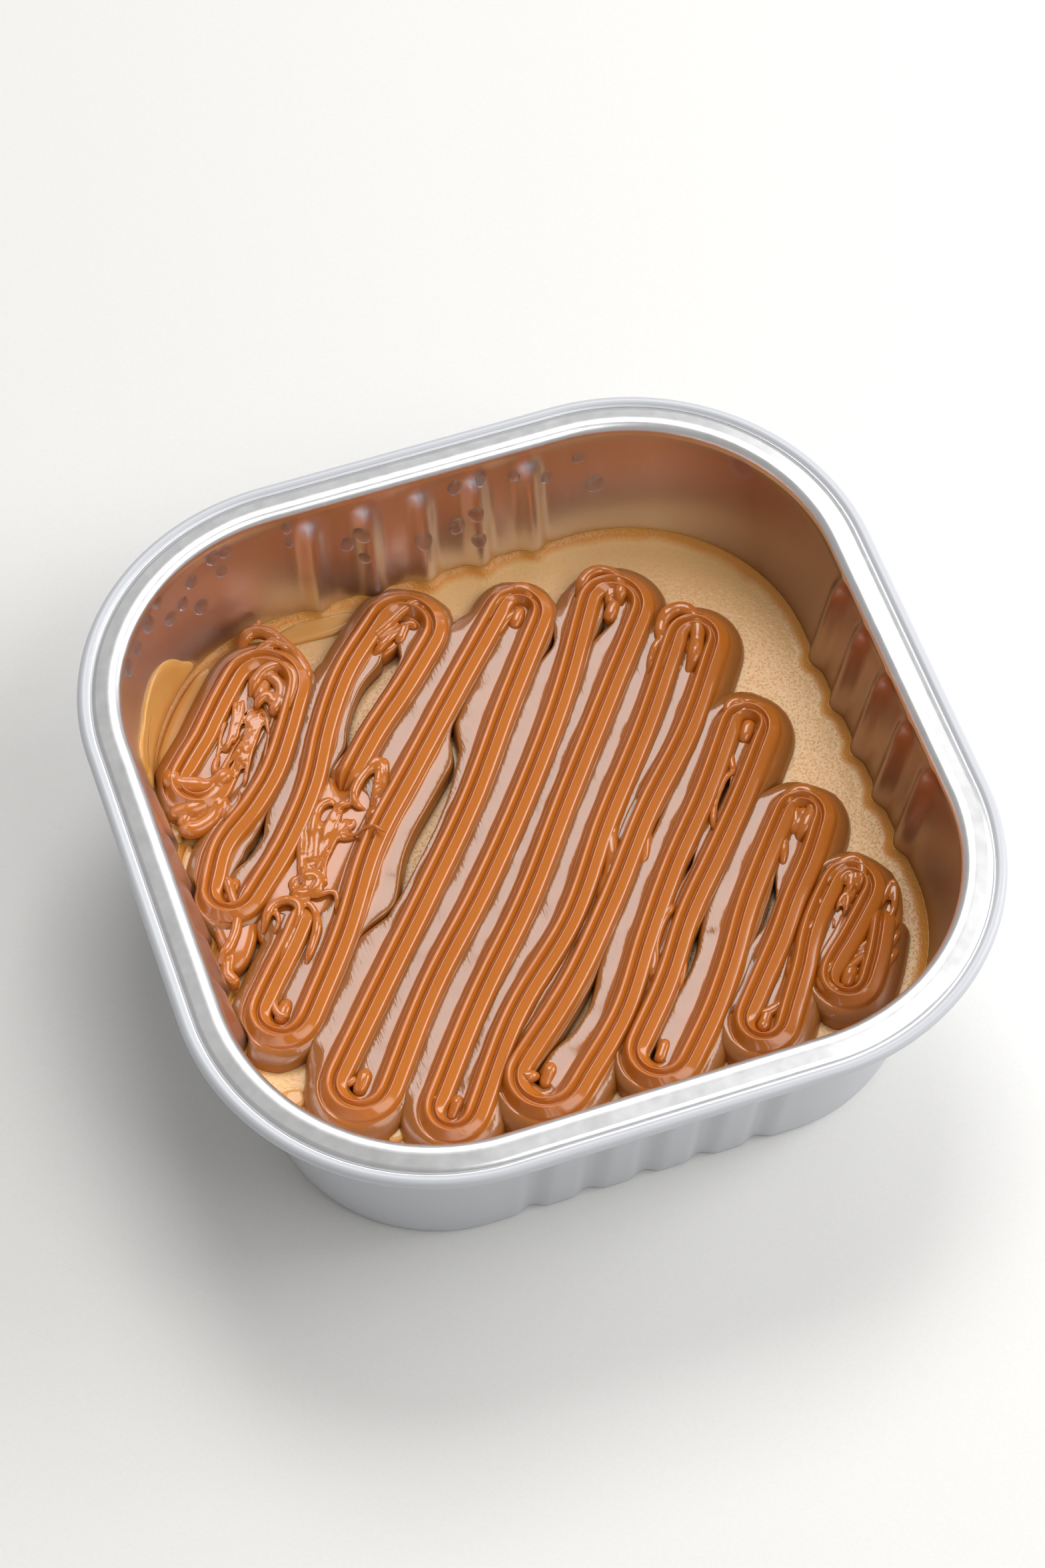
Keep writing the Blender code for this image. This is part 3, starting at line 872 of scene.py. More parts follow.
def flange_share(path, outward, room):
    """On one side: share of the flange's width, its slope as a free shoulder, and the room."""
    away = np.vstack(paths)[None, :, :] - path[:, None, :]
    across = np.einsum("ijk,ik->ij", away, outward)
    along = np.einsum("ijk,ik->ij", away, np.stack([outward[:, 1], -outward[:, 0]], 1))
    beside = (across > NEXT_LEG[0]) & (across < NEXT_LEG[1]) & (np.abs(along) < BESIDE)
    distance = np.where(beside, across, NOTHING_NEAR).min(axis=1)
    width = RIBBON_HALF - FLANGE_FROM
    lapping = np.clip((distance - 2 * FLANGE_FROM + FLANGE_LAP) / width, 0.1, WIDEST)
    lapping = np.where(room < 0.98 * RIBBON_HALF, np.minimum(lapping, 1.0), lapping)
    share = np.where(outward[:, 0] < 0.0, lapping, TUCKED)
    share = np.where(distance > NEXT_LEG[1], 1.0, share)
    shoulder = np.where(distance > NEXT_LEG[1], 1.0, 0.0)
    for gap_v, gap_u, half_length, gap_width in GAPS:
        away = np.array((gap_v, gap_u)) - path
        near = np.clip(1.0 - (away[:, 1] / half_length) ** 2, 0.0, 1.0)
        across = (away * outward).sum(axis=1)
        beside = (near > 0.0) & (across > 0.0) & (across < GAP_REACH)
        free = across - 0.5 * gap_width * np.sqrt(near)
        to_gap = np.clip((free - FLANGE_FROM) / width, 0.02, WIDEST)
        opened = TUCKED + (to_gap - TUCKED) * np.minimum(near * 3.0, 1.0)
        share = np.where(beside, np.where(share < 0.2, opened, np.minimum(share, to_gap)), share)
    share, shoulder = running_mean(share, 7), running_mean(shoulder, 7)
    to_wall = wall_room(path, outward)
    room = np.minimum(room, np.maximum(to_wall, 0.3) * RIBBON_HALF / FLANGE_FROM)
    left_over = to_wall - FLANGE_FROM * room / RIBBON_HALF
    share = np.minimum(share, np.maximum(left_over, 0.0) / (width * room / RIBBON_HALF))
    return share, shoulder, room


# %% Room on both sides of the route
START_TAPER = 20.0
END_TAPER = 3.0
TURN_ROOM = 0.93
BEND_SPAN = 3


def ribbon_facts(path):
    """Room and flange share to the left and right, size and lean, along a route."""
    count = len(path)
    ahead = path[np.minimum(np.arange(count) + BEND_SPAN, count - 1)]
    behind = path[np.maximum(np.arange(count) - BEND_SPAN, 0)]
    before, after = path - behind, ahead - path
    cross = before[:, 0] * after[:, 1] - before[:, 1] * after[:, 0]
    lengths = np.linalg.norm(before, axis=1) * np.linalg.norm(after, axis=1)
    bend = np.arcsin(np.clip(cross / np.maximum(lengths, 1e-9), -1.0, 1.0))
    radius = BEND_SPAN * STEP_LENGTH / np.maximum(np.abs(bend), 1e-6)
    inner = np.minimum(RIBBON_HALF, TURN_ROOM * radius)
    kernel = np.ones(7) / 7
    left = np.convolve(np.where(bend > 0, inner, RIBBON_HALF), kernel, "same")
    right = np.convolve(np.where(bend < 0, inner, RIBBON_HALF), kernel, "same")
    travel = np.arange(count) * STEP_LENGTH
    first_taper = START_TAPER if path is paths[0] else END_TAPER
    to_end = np.minimum(travel / first_taper, travel[::-1] / END_TAPER)
    size = np.minimum(1.0, 0.25 + 0.75 * np.sqrt(np.minimum(to_end, 1.0)))
    tangent = np.gradient(path, axis=0)
    tangent /= np.linalg.norm(tangent, axis=1)[:, None]
    normal = np.stack([-tangent[:, 1], tangent[:, 0]], 1)
    flange_left, shoulder_left, left = flange_share(path, normal, left)
    flange_right, shoulder_right, right = flange_share(path, -normal, right)
    return {
        "room_left": left * MM,
        "room_right": right * MM,
        "flange_left": flange_left,
        "flange_right": flange_right,
        "shoulder_left": shoulder_left,
        "shoulder_right": shoulder_right,
        "size": size,
        "lean": tangent[:, 1],
    }


# %% Attributes in a tree


def store(tree, shape, name, value, kind):
    return add(
        tree,
        "GeometryNodeStoreNamedAttribute",
        {"data_type": kind, "domain": "POINT"},
        {"Geometry": shape, "Name": name, "Value": value},
    )


def read(tree, name, kind="FLOAT"):
    return add(tree, "GeometryNodeInputNamedAttribute", {"data_type": kind}, {"Name": name})


def keep(mesh, name, values):
    """Stores numbers or vectors on the points of a mesh."""
    values = np.array(values, np.float32)
    kind = "FLOAT" if values.ndim == 1 else "FLOAT_VECTOR"
    layer = mesh.attributes.new(name, kind, "POINT")
    layer.data.foreach_set("value" if kind == "FLOAT" else "vector", values.ravel())


# %% The sweep as a tree
RIBBON_SIZES = {
    "Ridge height": RIDGE * MM,
    "Unevenness": 0.22 * MM,
    "Foot": 0.2 * MM,
    "Shoulder": 0.55,
}


def ribbon_tree():
    """Sweeps the nozzle's section along the routes, by the facts that they carry."""
    tree, sizes = shape_tree("caramel_ribbon", RIBBON_SIZES)
    parted = add(
        tree,
        "GeometryNodeSeparateGeometry",
        {"domain": "POINT"},
        {"Geometry": sizes["Seed shape"], "Selection": read(tree, "drawn").above(0.5)},
    )
    line = add(tree, "GeometryNodeMeshToCurve", None, {"Mesh": parted.other("Inverted")})
    side = add(
        tree,
        "ShaderNodeVectorMath",
        {"operation": "CROSS_PRODUCT"},
        {0: (0.0, 0.0, 1.0), 1: add(tree, "GeometryNodeInputTangent")},
    )
    line = store(tree, line, "side", side, "FLOAT_VECTOR")
    line = store(tree, line, "spot", add(tree, "GeometryNodeInputPosition"), "FLOAT_VECTOR")
    section = add(tree, "GeometryNodeMeshToCurve", None, {"Mesh": parted})
    for name in ("up", "down"):
        rows = read(tree, name, "FLOAT_VECTOR")
        section = store(tree, section, "section_" + name, rows, "FLOAT_VECTOR")
    ribbon = add(
        tree,
        "GeometryNodeCurveToMesh",
        None,
        {"Curve": line, "Profile Curve": section, "Fill Caps": True},
    )

    uphill = read(tree, "lean") * 0.5 + 0.5
    rows = (
        read(tree, "section_up", "FLOAT_VECTOR") * uphill
        + read(tree, "section_down", "FLOAT_VECTOR") * (1.0 - uphill)
    )
    core = add(tree, "ShaderNodeSeparateXYZ", None, {0: rows}, out="X")
    flange, level = core.other("Y"), core.other("Z")
    leftward = core.above(0.0)
    rightward = 1.0 - leftward
    room = read(tree, "room_left") * leftward + read(tree, "room_right") * rightward
    wide = read(tree, "flange_left") * leftward + read(tree, "flange_right") * rightward
    free = read(tree, "shoulder_left") * leftward + read(tree, "shoulder_right") * rightward
    slope = abs(flange) * (RIBBON_HALF / (RIBBON_HALF - FLANGE_FROM))
    level = level * (1.0 - slope * slope * free * sizes["Shoulder"])
    size = read(tree, "size")
    reach = (core + flange * wide) * room * size
    spot = read(tree, "spot", "FLOAT_VECTOR")
    place_on = spot + read(tree, "side", "FLOAT_VECTOR") * reach
    swell = noise_at(tree, spot, 110.0, 1.0) - 0.5
    patch = noise_at(tree, place_on, 190.0, 1.0) + noise_at(tree, place_on, 430.0, 1.0) * 0.3
    patch = patch - 0.65
    flat = (abs(flange) * 6.0).at_most(1.0)
    share = (level * 1.6).at_most(1.0)
    height = level * sizes["Ridge height"] * size
    height = height + (swell + patch * (flat * 1.9 + 0.3)) * sizes["Unevenness"] * share
    lift = add(tree, "ShaderNodeCombineXYZ", None, {"Z": height - sizes["Foot"]})
    ribbon = add(
        tree, "GeometryNodeSetPosition", None, {"Geometry": ribbon, "Position": place_on + lift}
    )
    # The flat mask also carries the caramel's painted shade on the flanges.
    ribbon = store(tree, ribbon, "flat", flat, "FLOAT")
    close_tree(tree, ribbon, caramel)
    return tree


# %% Seeds: the routes and the drawn section


def ribbon_seed(path):
    """One mesh: the route as a poly-line and the section as a closed one, with their facts."""
    facts = ribbon_facts(path)
    count, extra = len(path), len(section_rows)
    mesh = seed_line("route", [[(*to_dish(v, u), PUDDING_Z) for v, u in path]])
    mesh.vertices.add(extra)
    mesh.edges.add(extra)
    for i, (core, flange, level) in enumerate(section_rows):
        mesh.vertices[count + i].co = (core + flange, level, 0)
        mesh.edges[count - 1 + i].vertices = (count + i, count + (i + 1) % extra)
    flipped = section_rows[::-1] * (-1.0, -1.0, 1.0)
    flipped = np.roll(flipped, -2, axis=0)
    for key, values in facts.items():
        keep(mesh, key, list(values) + [0.0] * extra)
    keep(mesh, "drawn", [0.0] * count + [1.0] * extra)
    keep(mesh, "up", np.vstack([np.zeros((count, 3)), section_rows]))
    keep(mesh, "down", np.vstack([np.zeros((count, 3)), flipped]))
    return mesh


def show_caramel(piece):
    """Hides the plain caramel part and hangs a piece under the root body."""
    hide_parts("caramel_piping")
    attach(piece, "root")


ribbon = ribbon_tree()
for name, path in zip(("caramel_first_legs", "caramel_zigzag"), paths):
    show_caramel(grow(name, ribbon_seed(path), ribbon, RIBBON_SIZES, caramel))

# %% [markdown]
# ## Ropes, strands and pools
# Where the nozzle stopped, turned or was pulled away, the caramel isn't a ribbon: it
# leaves a pool with ropes, loops and stretched threads on it. Each rope is given as
# a few points of the layout frame, with its radius, and a tree sweeps a circle along it.
# Warm caramel runs together where two strands touch, and joining round tubes face by face
# would leave a hard crease there. So the tree turns all ropes of a group into one volume
# and back into a mesh, and then eases its points. Only the thread that hangs free is left
# as it was swept, because it is as thin as the volume's grain. Pools are low domes of a
# drawn outline, flat on top, so they mirror the light like the ribbon's flanges do.

# %% The rope tree
ROPE_SIZES = {"Thickness": 1.0, "Flattening": 0.1, "Grain": 0.2 * MM, "Easing": 4.0}


def rope_tree(name, fused):
    """Round ropes along poly-lines, fused where they touch; each point has its thickness."""
    tree, sizes = shape_tree(name, ROPE_SIZES)
    line = add(tree, "GeometryNodeMeshToCurve", None, {"Mesh": sizes["Seed shape"]})
    spot = add(tree, "GeometryNodeInputPosition")
    line = store(tree, line, "spot", spot, "FLOAT_VECTOR")
    circle = {"Resolution": 12, "Radius": 1.0}
    section = add(tree, "GeometryNodeCurvePrimitiveCircle", None, circle)
    rope = add(
        tree,
        "GeometryNodeCurveToMesh",
        None,
        {"Curve": line, "Profile Curve": section, "Fill Caps": True},
    )
    middle = read(tree, "spot", "FLOAT_VECTOR")
    outward = add(tree, "GeometryNodeInputPosition") - middle
    outward = outward * (read(tree, "thick") * sizes["Thickness"])
    height = add(tree, "ShaderNodeSeparateXYZ", None, {0: outward}, out="Z")
    lower = add(tree, "ShaderNodeCombineXYZ", None, {"Z": height * sizes["Flattening"] * -1.0})
    swept = {"Geometry": rope, "Position": middle + outward + lower}
    rope = add(tree, "GeometryNodeSetPosition", None, swept)
    if fused:
        rope = fuse(tree, rope, sizes)
    close_tree(tree, rope, caramel)
    return tree


def fuse(tree, rope, sizes):
    """Ropes as one volume and back as one mesh, its points eased."""
    grain = sizes["Grain"]
    solid = {"Mesh": rope, "Density": 1.0, "Voxel Size": grain, "Interior Band Width": grain * 3.0}
    body = add(tree, "GeometryNodeMeshToVolume", {"resolution_mode": "VOXEL_SIZE"}, solid)
    rope = add(tree, "GeometryNodeVolumeToMesh", None, {"Volume": body, "Threshold": 0.3})
    points = {"Value": add(tree, "GeometryNodeInputPosition"), "Iterations": sizes["Easing"]}
    eased = add(tree, "GeometryNodeBlurAttribute", {"data_type": "FLOAT_VECTOR"}, points)
    return add(tree, "GeometryNodeSetPosition", None, {"Geometry": rope, "Position": eased})


# %% Ropes, as radius, height over the pudding and points (v, u)
ROPES_FIRST_TURN = (
    (0.45, 3.9, (-51.7, 20.5), (-51.5, 22.6), (-51.2, 23.6), (-51.0, 24.4)),
    (0.9, 3.5, (-52.4, 18.5), (-52.0, 21.4), (-50.4, 22.5), (-48.0, 22.4), (-45.6, 21.2),
     (-43.2, 19.4), (-41.5, 17.4), (-40.7, 14.5)),
    (0.6, 3.9, (-49.7, 12.0), (-49.8, 16.0), (-49.4, 19.2), (-48.2, 20.8), (-46.4, 20.9),
     (-44.2, 19.6)),
    (0.7, 3.7, (-48.4, 15.5), (-48.3, 18.2), (-47.4, 19.0), (-46.2, 18.6)),
    (0.8, 4.2, (-47.9, 10.8), (-48.1, 13.2), (-47.5, 15.4), (-46.2, 16.9), (-44.5, 17.2),
     (-42.9, 16.2), (-42.1, 14.0), (-42.0, 11.0), (-42.1, 8.0)),
    (0.85, 3.9, (-46.8, 14.8), (-45.4, 14.8), (-44.2, 13.8), (-43.6, 12.0), (-43.5, 10.2),
     (-43.9, 8.8)),
    (0.65, 4.1, (-46.6, 9.0), (-46.2, 10.8), (-45.4, 11.7), (-44.6, 11.3), (-44.5, 10.3)),
)
ROPES_FIRST_TEAR = (
    (0.5, 3.6, (-46.9, 9.6), (-46.9, 7.0), (-46.4, 4.5), (-46.3, 2.0), (-46.9, -0.5),
     (-47.9, -3.2)),
    (0.5, 3.7, (-46.2, 9.8), (-46.2, 6.5), (-45.9, 4.0), (-45.7, 1.5), (-45.9, -1.0),
     (-46.3, -3.8)),
    (0.45, 3.8, (-45.6, 9.6), (-45.5, 7.0), (-45.3, 4.0), (-45.1, 1.0), (-45.2, -2.0),
     (-45.5, -4.5)),
    (0.5, 3.6, (-45.0, 9.2), (-44.8, 6.5), (-44.7, 3.5), (-44.5, 0.5), (-44.0, -2.5),
     (-43.5, -5.0)),
    (0.45, 3.7, (-44.6, 8.6), (-43.9, 7.0), (-43.1, 5.3), (-42.6, 3.0), (-42.1, -0.5)),
    (0.6, 3.5, (-49.9, 10.0), (-49.1, 7.5), (-48.6, 5.0), (-48.3, 2.5), (-48.4, 0.2)),
    (0.5, 3.3, (-50.0, 6.5), (-50.0, 3.5), (-49.4, 1.0), (-49.0, -2.2)),
    (0.5, 3.6, (-48.9, 10.5), (-48.2, 8.0), (-47.8, 5.0), (-47.5, 2.2)),
    (0.65, 3.5, (-49.0, 0.2), (-48.9, -2.4), (-48.1, -4.0), (-47.0, -4.6)),
    (1.35, 3.5, (-55.2, -4.4), (-53.8, -6.7), (-52.0, -6.7), (-50.2, -6.3), (-48.6, -5.8),
     (-47.2, -4.2), (-46.4, -1.8)),
    (1.4, 3.0, (-52.8, -11.4), (-50.6, -10.7), (-48.6, -9.0), (-47.3, -6.8), (-46.7, -4.2)),
    (1.3, 2.7, (-50.2, -13.4), (-48.4, -13.2), (-46.8, -11.4), (-46.2, -9.0), (-46.3, -6.2)),
    (0.5, 3.3, (-44.4, -4.5), (-43.6, -6.5), (-43.9, -8.6), (-44.6, -10.5)),
)
ROPES_TORN_LEG = (
    (0.8, 3.7, (-24.9, -2.7), (-26.8, -2.5), (-27.8, -0.8), (-27.6, 1.8), (-26.9, 3.9),
     (-26.2, 5.4), (-25.4, 3.8), (-24.9, 1.6), (-24.7, -0.6), (-24.9, -2.9)),
    (0.9, 3.2, (-25.8, 6.8), (-24.8, 4.4), (-24.0, 1.2), (-23.9, -2.0), (-24.6, -5.2)),
    (0.85, 3.6, (-29.8, -2.8), (-31.3, -3.5), (-32.0, -5.2), (-31.6, -8.5), (-30.7, -12.0),
     (-30.1, -15.8)),
    (0.7, 3.7, (-27.6, -2.6), (-29.0, -3.5), (-29.6, -5.5), (-29.5, -9.0), (-29.2, -12.5),
     (-28.9, -15.8)),
    (0.85, 3.5, (-34.0, -5.4), (-33.3, -8.0), (-32.4, -11.0), (-31.4, -14.0),
     (-30.5, -16.8)),
    (0.6, 3.5, (-27.4, -4.4), (-27.5, -7.0), (-28.1, -10.0), (-28.2, -13.0),
     (-27.5, -15.4), (-26.6, -17.0)),
    (0.5, 3.8, (-30.8, -6.0), (-30.3, -9.5), (-29.9, -12.5), (-29.6, -15.8)),
    (0.5, 3.8, (-28.5, -3.6), (-28.7, -7.0), (-28.8, -10.0), (-28.5, -13.5)),
    (0.75, 3.3, (-28.4, -8.6), (-26.8, -8.3), (-25.2, -7.6)),
    (0.6, 3.4, (-26.6, -4.8), (-26.2, -5.8), (-26.7, -6.6), (-27.4, -6.4)),
    (1.05, 3.4, (-30.6, -17.2), (-29.9, -16.2), (-28.7, -15.9), (-27.9, -16.9),
     (-28.4, -18.3), (-29.8, -19.2), (-31.6, -19.6)),
    (1.1, 3.3, (-29.8, -17.8), (-28.9, -17.4)),
    (0.75, 3.2, (-31.0, -19.0), (-31.6, -17.8), (-31.0, -16.6)),
    (0.8, 4.0, (-33.1, -27.0), (-33.2, -23.7), (-32.6, -22.1), (-31.2, -21.1),
     (-29.6, -21.3), (-28.8, -22.8), (-28.6, -25.5), (-28.8, -29.0), (-28.9, -33.0)),
    (0.55, 3.7, (-32.8, -22.9), (-31.9, -23.6), (-31.3, -24.8), (-31.3, -26.8)),
    (0.75, 3.8, (-29.8, -20.3), (-27.8, -20.8), (-26.6, -22.0), (-25.7, -24.0),
     (-25.4, -27.0), (-25.4, -31.0)),
    (0.55, 3.7, (-28.7, -19.6), (-27.2, -18.9), (-26.0, -17.9), (-24.9, -17.8),
     (-24.3, -19.0), (-23.9, -21.0)),
    (0.65, 3.4, (-33.9, -10.0), (-33.9, -12.5), (-34.4, -15.5), (-35.0, -18.0),
     (-36.2, -20.4)),
    (0.85, 3.6, (-41.6, -19.0), (-40.2, -21.0), (-39.0, -22.8), (-37.5, -25.0),
     (-36.8, -28.0), (-36.9, -31.0), (-37.6, -33.6)),
    (0.65, 3.3, (-42.2, -21.0), (-41.2, -23.8), (-40.3, -25.6), (-39.0, -27.2)),
    (0.95, 2.7, (-36.8, -30.0), (-36.2, -33.0), (-35.6, -35.2), (-35.3, -36.8)),
)
ROPES_TOP_TURNS = (
    (0.75, 4.3, (-34.6, 24.0), (-32.6, 28.6), (-30.8, 32.4), (-29.2, 34.3), (-28.1, 33.8),
     (-27.8, 31.8)),
    (0.6, 4.0, (-33.0, 22.5), (-31.2, 27.4), (-29.7, 29.8), (-28.7, 30.5), (-28.2, 29.4)),
    (0.8, 4.3, (-18.4, 32.5), (-17.9, 36.5), (-16.6, 39.8), (-15.0, 41.3), (-13.6, 40.7),
     (-13.2, 38.4)),
    (0.6, 3.9, (-16.2, 31.5), (-15.6, 35.0), (-14.6, 36.7), (-13.5, 36.4)),
    (0.8, 4.4, (-6.4, 42.5), (-6.1, 46.2), (-4.3, 48.1), (-2.1, 47.8), (-0.5, 45.8),
     (-0.1, 42.6)),
    (0.6, 4.0, (-4.3, 40.5), (-4.0, 44.6), (-2.9, 45.8), (-1.9, 44.6), (-1.6, 42.2)),
    (0.95, 4.3, (8.5, 37.6), (7.4, 40.2), (7.4, 42.8), (8.8, 44.7), (10.7, 44.7),
     (12.3, 43.0), (13.1, 40.2), (13.5, 37.0), (13.2, 33.6)),
    (0.6, 4.1, (7.6, 32.0), (7.4, 36.2), (8.1, 38.8), (9.0, 38.6), (9.2, 35.0), (9.1, 31.5)),
    (0.65, 4.3, (21.8, 24.5), (21.1, 28.2), (20.9, 30.0), (21.6, 31.1), (22.8, 31.1),
     (23.3, 30.0), (22.6, 28.2), (22.2, 26.2), (22.2, 22.5)),
    (0.55, 3.9, (22.4, 24.0), (23.6, 21.6), (24.7, 19.0)),
    (0.5, 4.0, (25.0, 19.2), (24.0, 18.6), (23.5, 16.5), (23.5, 13.0), (24.0, 10.2),
     (24.8, 8.4)),
    (0.85, 4.3, (33.7, 14.5), (33.6, 17.4), (34.8, 18.9), (36.6, 18.6), (37.3, 16.4),
     (37.2, 13.2), (36.5, 10.4)),
    (0.6, 4.0, (34.2, 16.8), (35.1, 15.4), (35.6, 13.6), (35.4, 11.4)),
    (0.6, 4.0, (32.6, 5.0), (33.4, 8.2), (34.6, 10.0), (35.2, 8.6), (35.9, 5.2)),
)
ROPES_RIGHT = (
    (0.8, 4.3, (42.2, 3.4), (43.0, 6.8), (44.8, 9.3), (46.3, 9.5), (47.1, 8.0),
     (47.2, 4.6)),
    (0.6, 4.1, (43.9, 2.6), (44.3, 5.5), (45.4, 7.4), (46.0, 6.0), (46.1, 3.8)),
    (0.45, 4.2, (45.2, 0.2), (45.3, 2.5), (45.9, 3.8), (46.4, 2.6), (46.3, -0.2)),
    (0.4, 4.0, (45.1, -0.2), (45.5, -2.2)),
    (0.65, 3.8, (41.0, 2.6), (42.4, 1.7), (43.1, 0.0), (42.7, -2.2), (41.6, -5.2)),
    (0.55, 3.8, (50.4, 0.2), (51.0, 4.0), (51.8, 7.9), (52.7, 5.5), (53.0, 3.0),
     (52.3, 0.5), (51.0, -2.6), (48.8, -5.6), (47.5, -7.8)),
    (0.65, 3.6, (54.0, 3.0), (53.4, 0.0), (51.8, -3.2), (50.0, -6.6), (48.4, -9.6)),
    (0.6, 3.5, (54.7, 1.0), (54.0, -3.0), (52.1, -7.0), (50.2, -10.6)),
    (0.6, 3.3, (55.2, -2.0), (54.2, -6.5), (52.4, -10.6)),
    (1.0, 3.7, (47.3, -7.6), (46.3, -9.3), (46.5, -11.4), (47.8, -12.0), (49.8, -11.0)),
    (0.8, 3.5, (40.9, -8.6), (41.6, -11.0), (42.4, -13.2), (42.0, -15.6), (40.2, -18.0),
     (38.4, -18.9)),
    (1.0, 3.5, (9.0, 8.0), (10.2, 3.6), (11.4, 0.6), (12.0, -3.0), (12.3, -9.0)),
    (0.9, 3.4, (16.4, 14.5), (15.0, 9.6), (14.8, 7.2), (15.3, 4.4), (16.4, -1.0)),
    (0.6, 3.7, (26.9, -5.6), (26.0, -8.6), (25.9, -11.5), (26.6, -15.2), (26.9, -18.6)),
    (0.75, 3.8, (22.6, -4.6), (21.5, -8.0), (21.5, -12.0), (22.4, -15.0), (22.6, -18.6)),
    (0.85, 4.0, (11.4, -31.0), (9.8, -34.6), (9.2, -37.2), (10.2, -38.4), (11.8, -37.4)),
    (0.6, 3.9, (-1.8, -41.5), (-1.7, -44.6), (-0.8, -45.6), (0.3, -44.6), (0.6, -41.0)),
    (0.6, 3.9, (-14.4, -42.0), (-14.6, -45.8), (-13.6, -46.8), (-12.6, -45.2)),
    (0.6, 3.9, (-28.2, -34.5), (-27.7, -37.6), (-26.2, -39.2), (-24.9, -38.8)),
)
THREAD = ((-27.2, -8.3, 3.3), (-26.0, -8.0, 3.4), (-25.0, -7.4, 3.7), (-24.2, -6.8, 4.6),
          (-22.8, -6.3, 5.3), (-21.9, -6.6, 5.2), (-20.8, -6.7, 4.9))
print("strands drawn:", sum(len(group) for group in (
    ROPES_FIRST_TURN, ROPES_FIRST_TEAR, ROPES_TORN_LEG, ROPES_TOP_TURNS, ROPES_RIGHT)))

# %% Laying the ropes
ROPE_STEPS = 5
THREAD_RADIUS = 0.3
FOLD = (1.25, 2.7, 0.8, 2.6)


def rope_seed(name, ropes, stouter, sunk):
    """Poly-lines of smooth ropes whose ends taper and sink; stouter and sunk fit a group."""
    lines, thick = [], []
    for radius, height, *points in ropes:
        if len(points[0]) == 2:
            points = [(v, u, height) for v, u in points]
        path = curve_through(points, ROPE_STEPS)
        last = len(path) - 1
        line = []
        for index, (v, u, z) in enumerate(path):
            share = min(index, last - index) / last * 2.0
            thread = radius < THREAD_RADIUS
            taper = min(1.0, (0.35 if thread else 0.55) + 1.9 * share)
            x, y = held(*to_dish(v, u), PUDDING_Z + z, radius * stouter)
            wave = noise.noise(Vector((v, u, z)) * 0.3)
            sink = 0.0 if thread else 1.5 * (1.0 - min(1.0, 3.5 * share)) ** 2
            line.append((x, y, PUDDING_Z + z - sunk + 0.3 * wave - sink))
            thick.append(radius * MM * stouter * taper * (1.0 + 0.2 * wave))
        lines.append(line)
    mesh = seed_line(name, lines)
    keep(mesh, "thick", thick)
    return mesh


def turn_folds():
    """A thick fold inside each turn, where the nozzle's ridges closed up."""
    thick, height, outer, inner = FOLD
    folds = []
    for index, (v, u, radius) in enumerate(TURNS):
        up = 1.0 if index % 2 else -1.0
        middle = u - up * radius
        ends = (v, middle + up * outer), (v, middle), (v, middle - up * inner)
        folds.append((thick, height, *ends))
    return folds


# %% Sweeping the ropes
fused_ropes = rope_tree("fused_ropes", True)
single_ropes = rope_tree("single_ropes", False)
ROPE_GROUPS = (
    ("caramel_folds", turn_folds(), 1.0, 0.0),
    ("caramel_first_turn", ROPES_FIRST_TURN, 1.45, 0.8),
    ("caramel_first_tear", ROPES_FIRST_TEAR, 1.25, 0.3),
    ("caramel_torn_leg", ROPES_TORN_LEG, 1.2, 0.35),
    ("caramel_top_loops", ROPES_TOP_TURNS, 1.5, 1.05),
    ("caramel_right_loops", ROPES_RIGHT, 1.35, 0.75),
    ("caramel_thread", ((0.28, 0.0, *THREAD),), 1.0, 0.0),
)
for name, group, stouter, sunk in ROPE_GROUPS:
    tree = single_ropes if name == "caramel_thread" else fused_ropes
    seed = rope_seed(name, group, stouter, sunk)
    show_caramel(grow(name, seed, tree, ROPE_SIZES, caramel))

# %% Pools: height at the rim and in the middle, and the outline
POOLS = (
    (2.3, 2.75, (-35.0, -4.0), (-32.6, 2.0), (-30.0, 0.0), (-28.0, 3.0), (-26.5, 9.0),
     (-23.6, 9.0), (-23.4, 0.0), (-24.0, -10.0), (-24.6, -20.0), (-26.0, -27.0),
     (-29.0, -29.0), (-33.0, -28.0), (-36.6, -22.0), (-35.6, -12.0)),
    (2.3, 2.7, (-51.6, 19.0), (-51.4, 10.0), (-52.6, 0.0), (-53.6, -6.0), (-51.0, -9.5),
     (-47.2, -10.0), (-44.2, -8.0), (-42.4, 0.0), (-42.2, 7.0), (-43.0, 9.0),
     (-45.4, 10.2), (-48.2, 10.6), (-48.8, 14.0), (-46.0, 18.0), (-42.0, 16.6),
     (-43.8, 20.0), (-48.0, 21.4)),
    (2.2, 2.6, (-42.6, -17.5), (-38.0, -18.5), (-34.6, -24.0), (-33.6, -31.0),
     (-35.4, -34.0), (-37.6, -31.6), (-40.6, -27.4), (-43.2, -22.0)),
    (2.3, 2.75, (42.6, 7.0), (46.2, 8.4), (47.6, 2.0), (47.2, -6.0), (45.6, -10.0),
     (42.2, -13.0), (41.2, -8.0), (43.2, -1.0)),
    (2.2, 2.6, (49.8, 7.6), (52.6, 8.6), (54.6, 3.0), (54.8, -4.0), (52.0, -10.4),
     (48.6, -10.0), (48.4, -4.0), (49.0, 2.0)),
    (2.3, 2.7, (9.6, 41.6), (12.4, 41.4), (13.0, 36.0), (12.6, 33.0), (10.0, 34.0),
     (9.6, 38.0)),
    (2.3, 2.7, (22.6, 27.0), (25.0, 27.6), (25.2, 20.0), (23.0, 20.0)),
    (2.2, 2.6, (-32.8, 26.0), (-30.6, 29.6), (-29.0, 31.6), (-28.4, 30.6), (-29.2, 27.4),
     (-31.4, 23.6)),
)
POOL_STEPS = 6


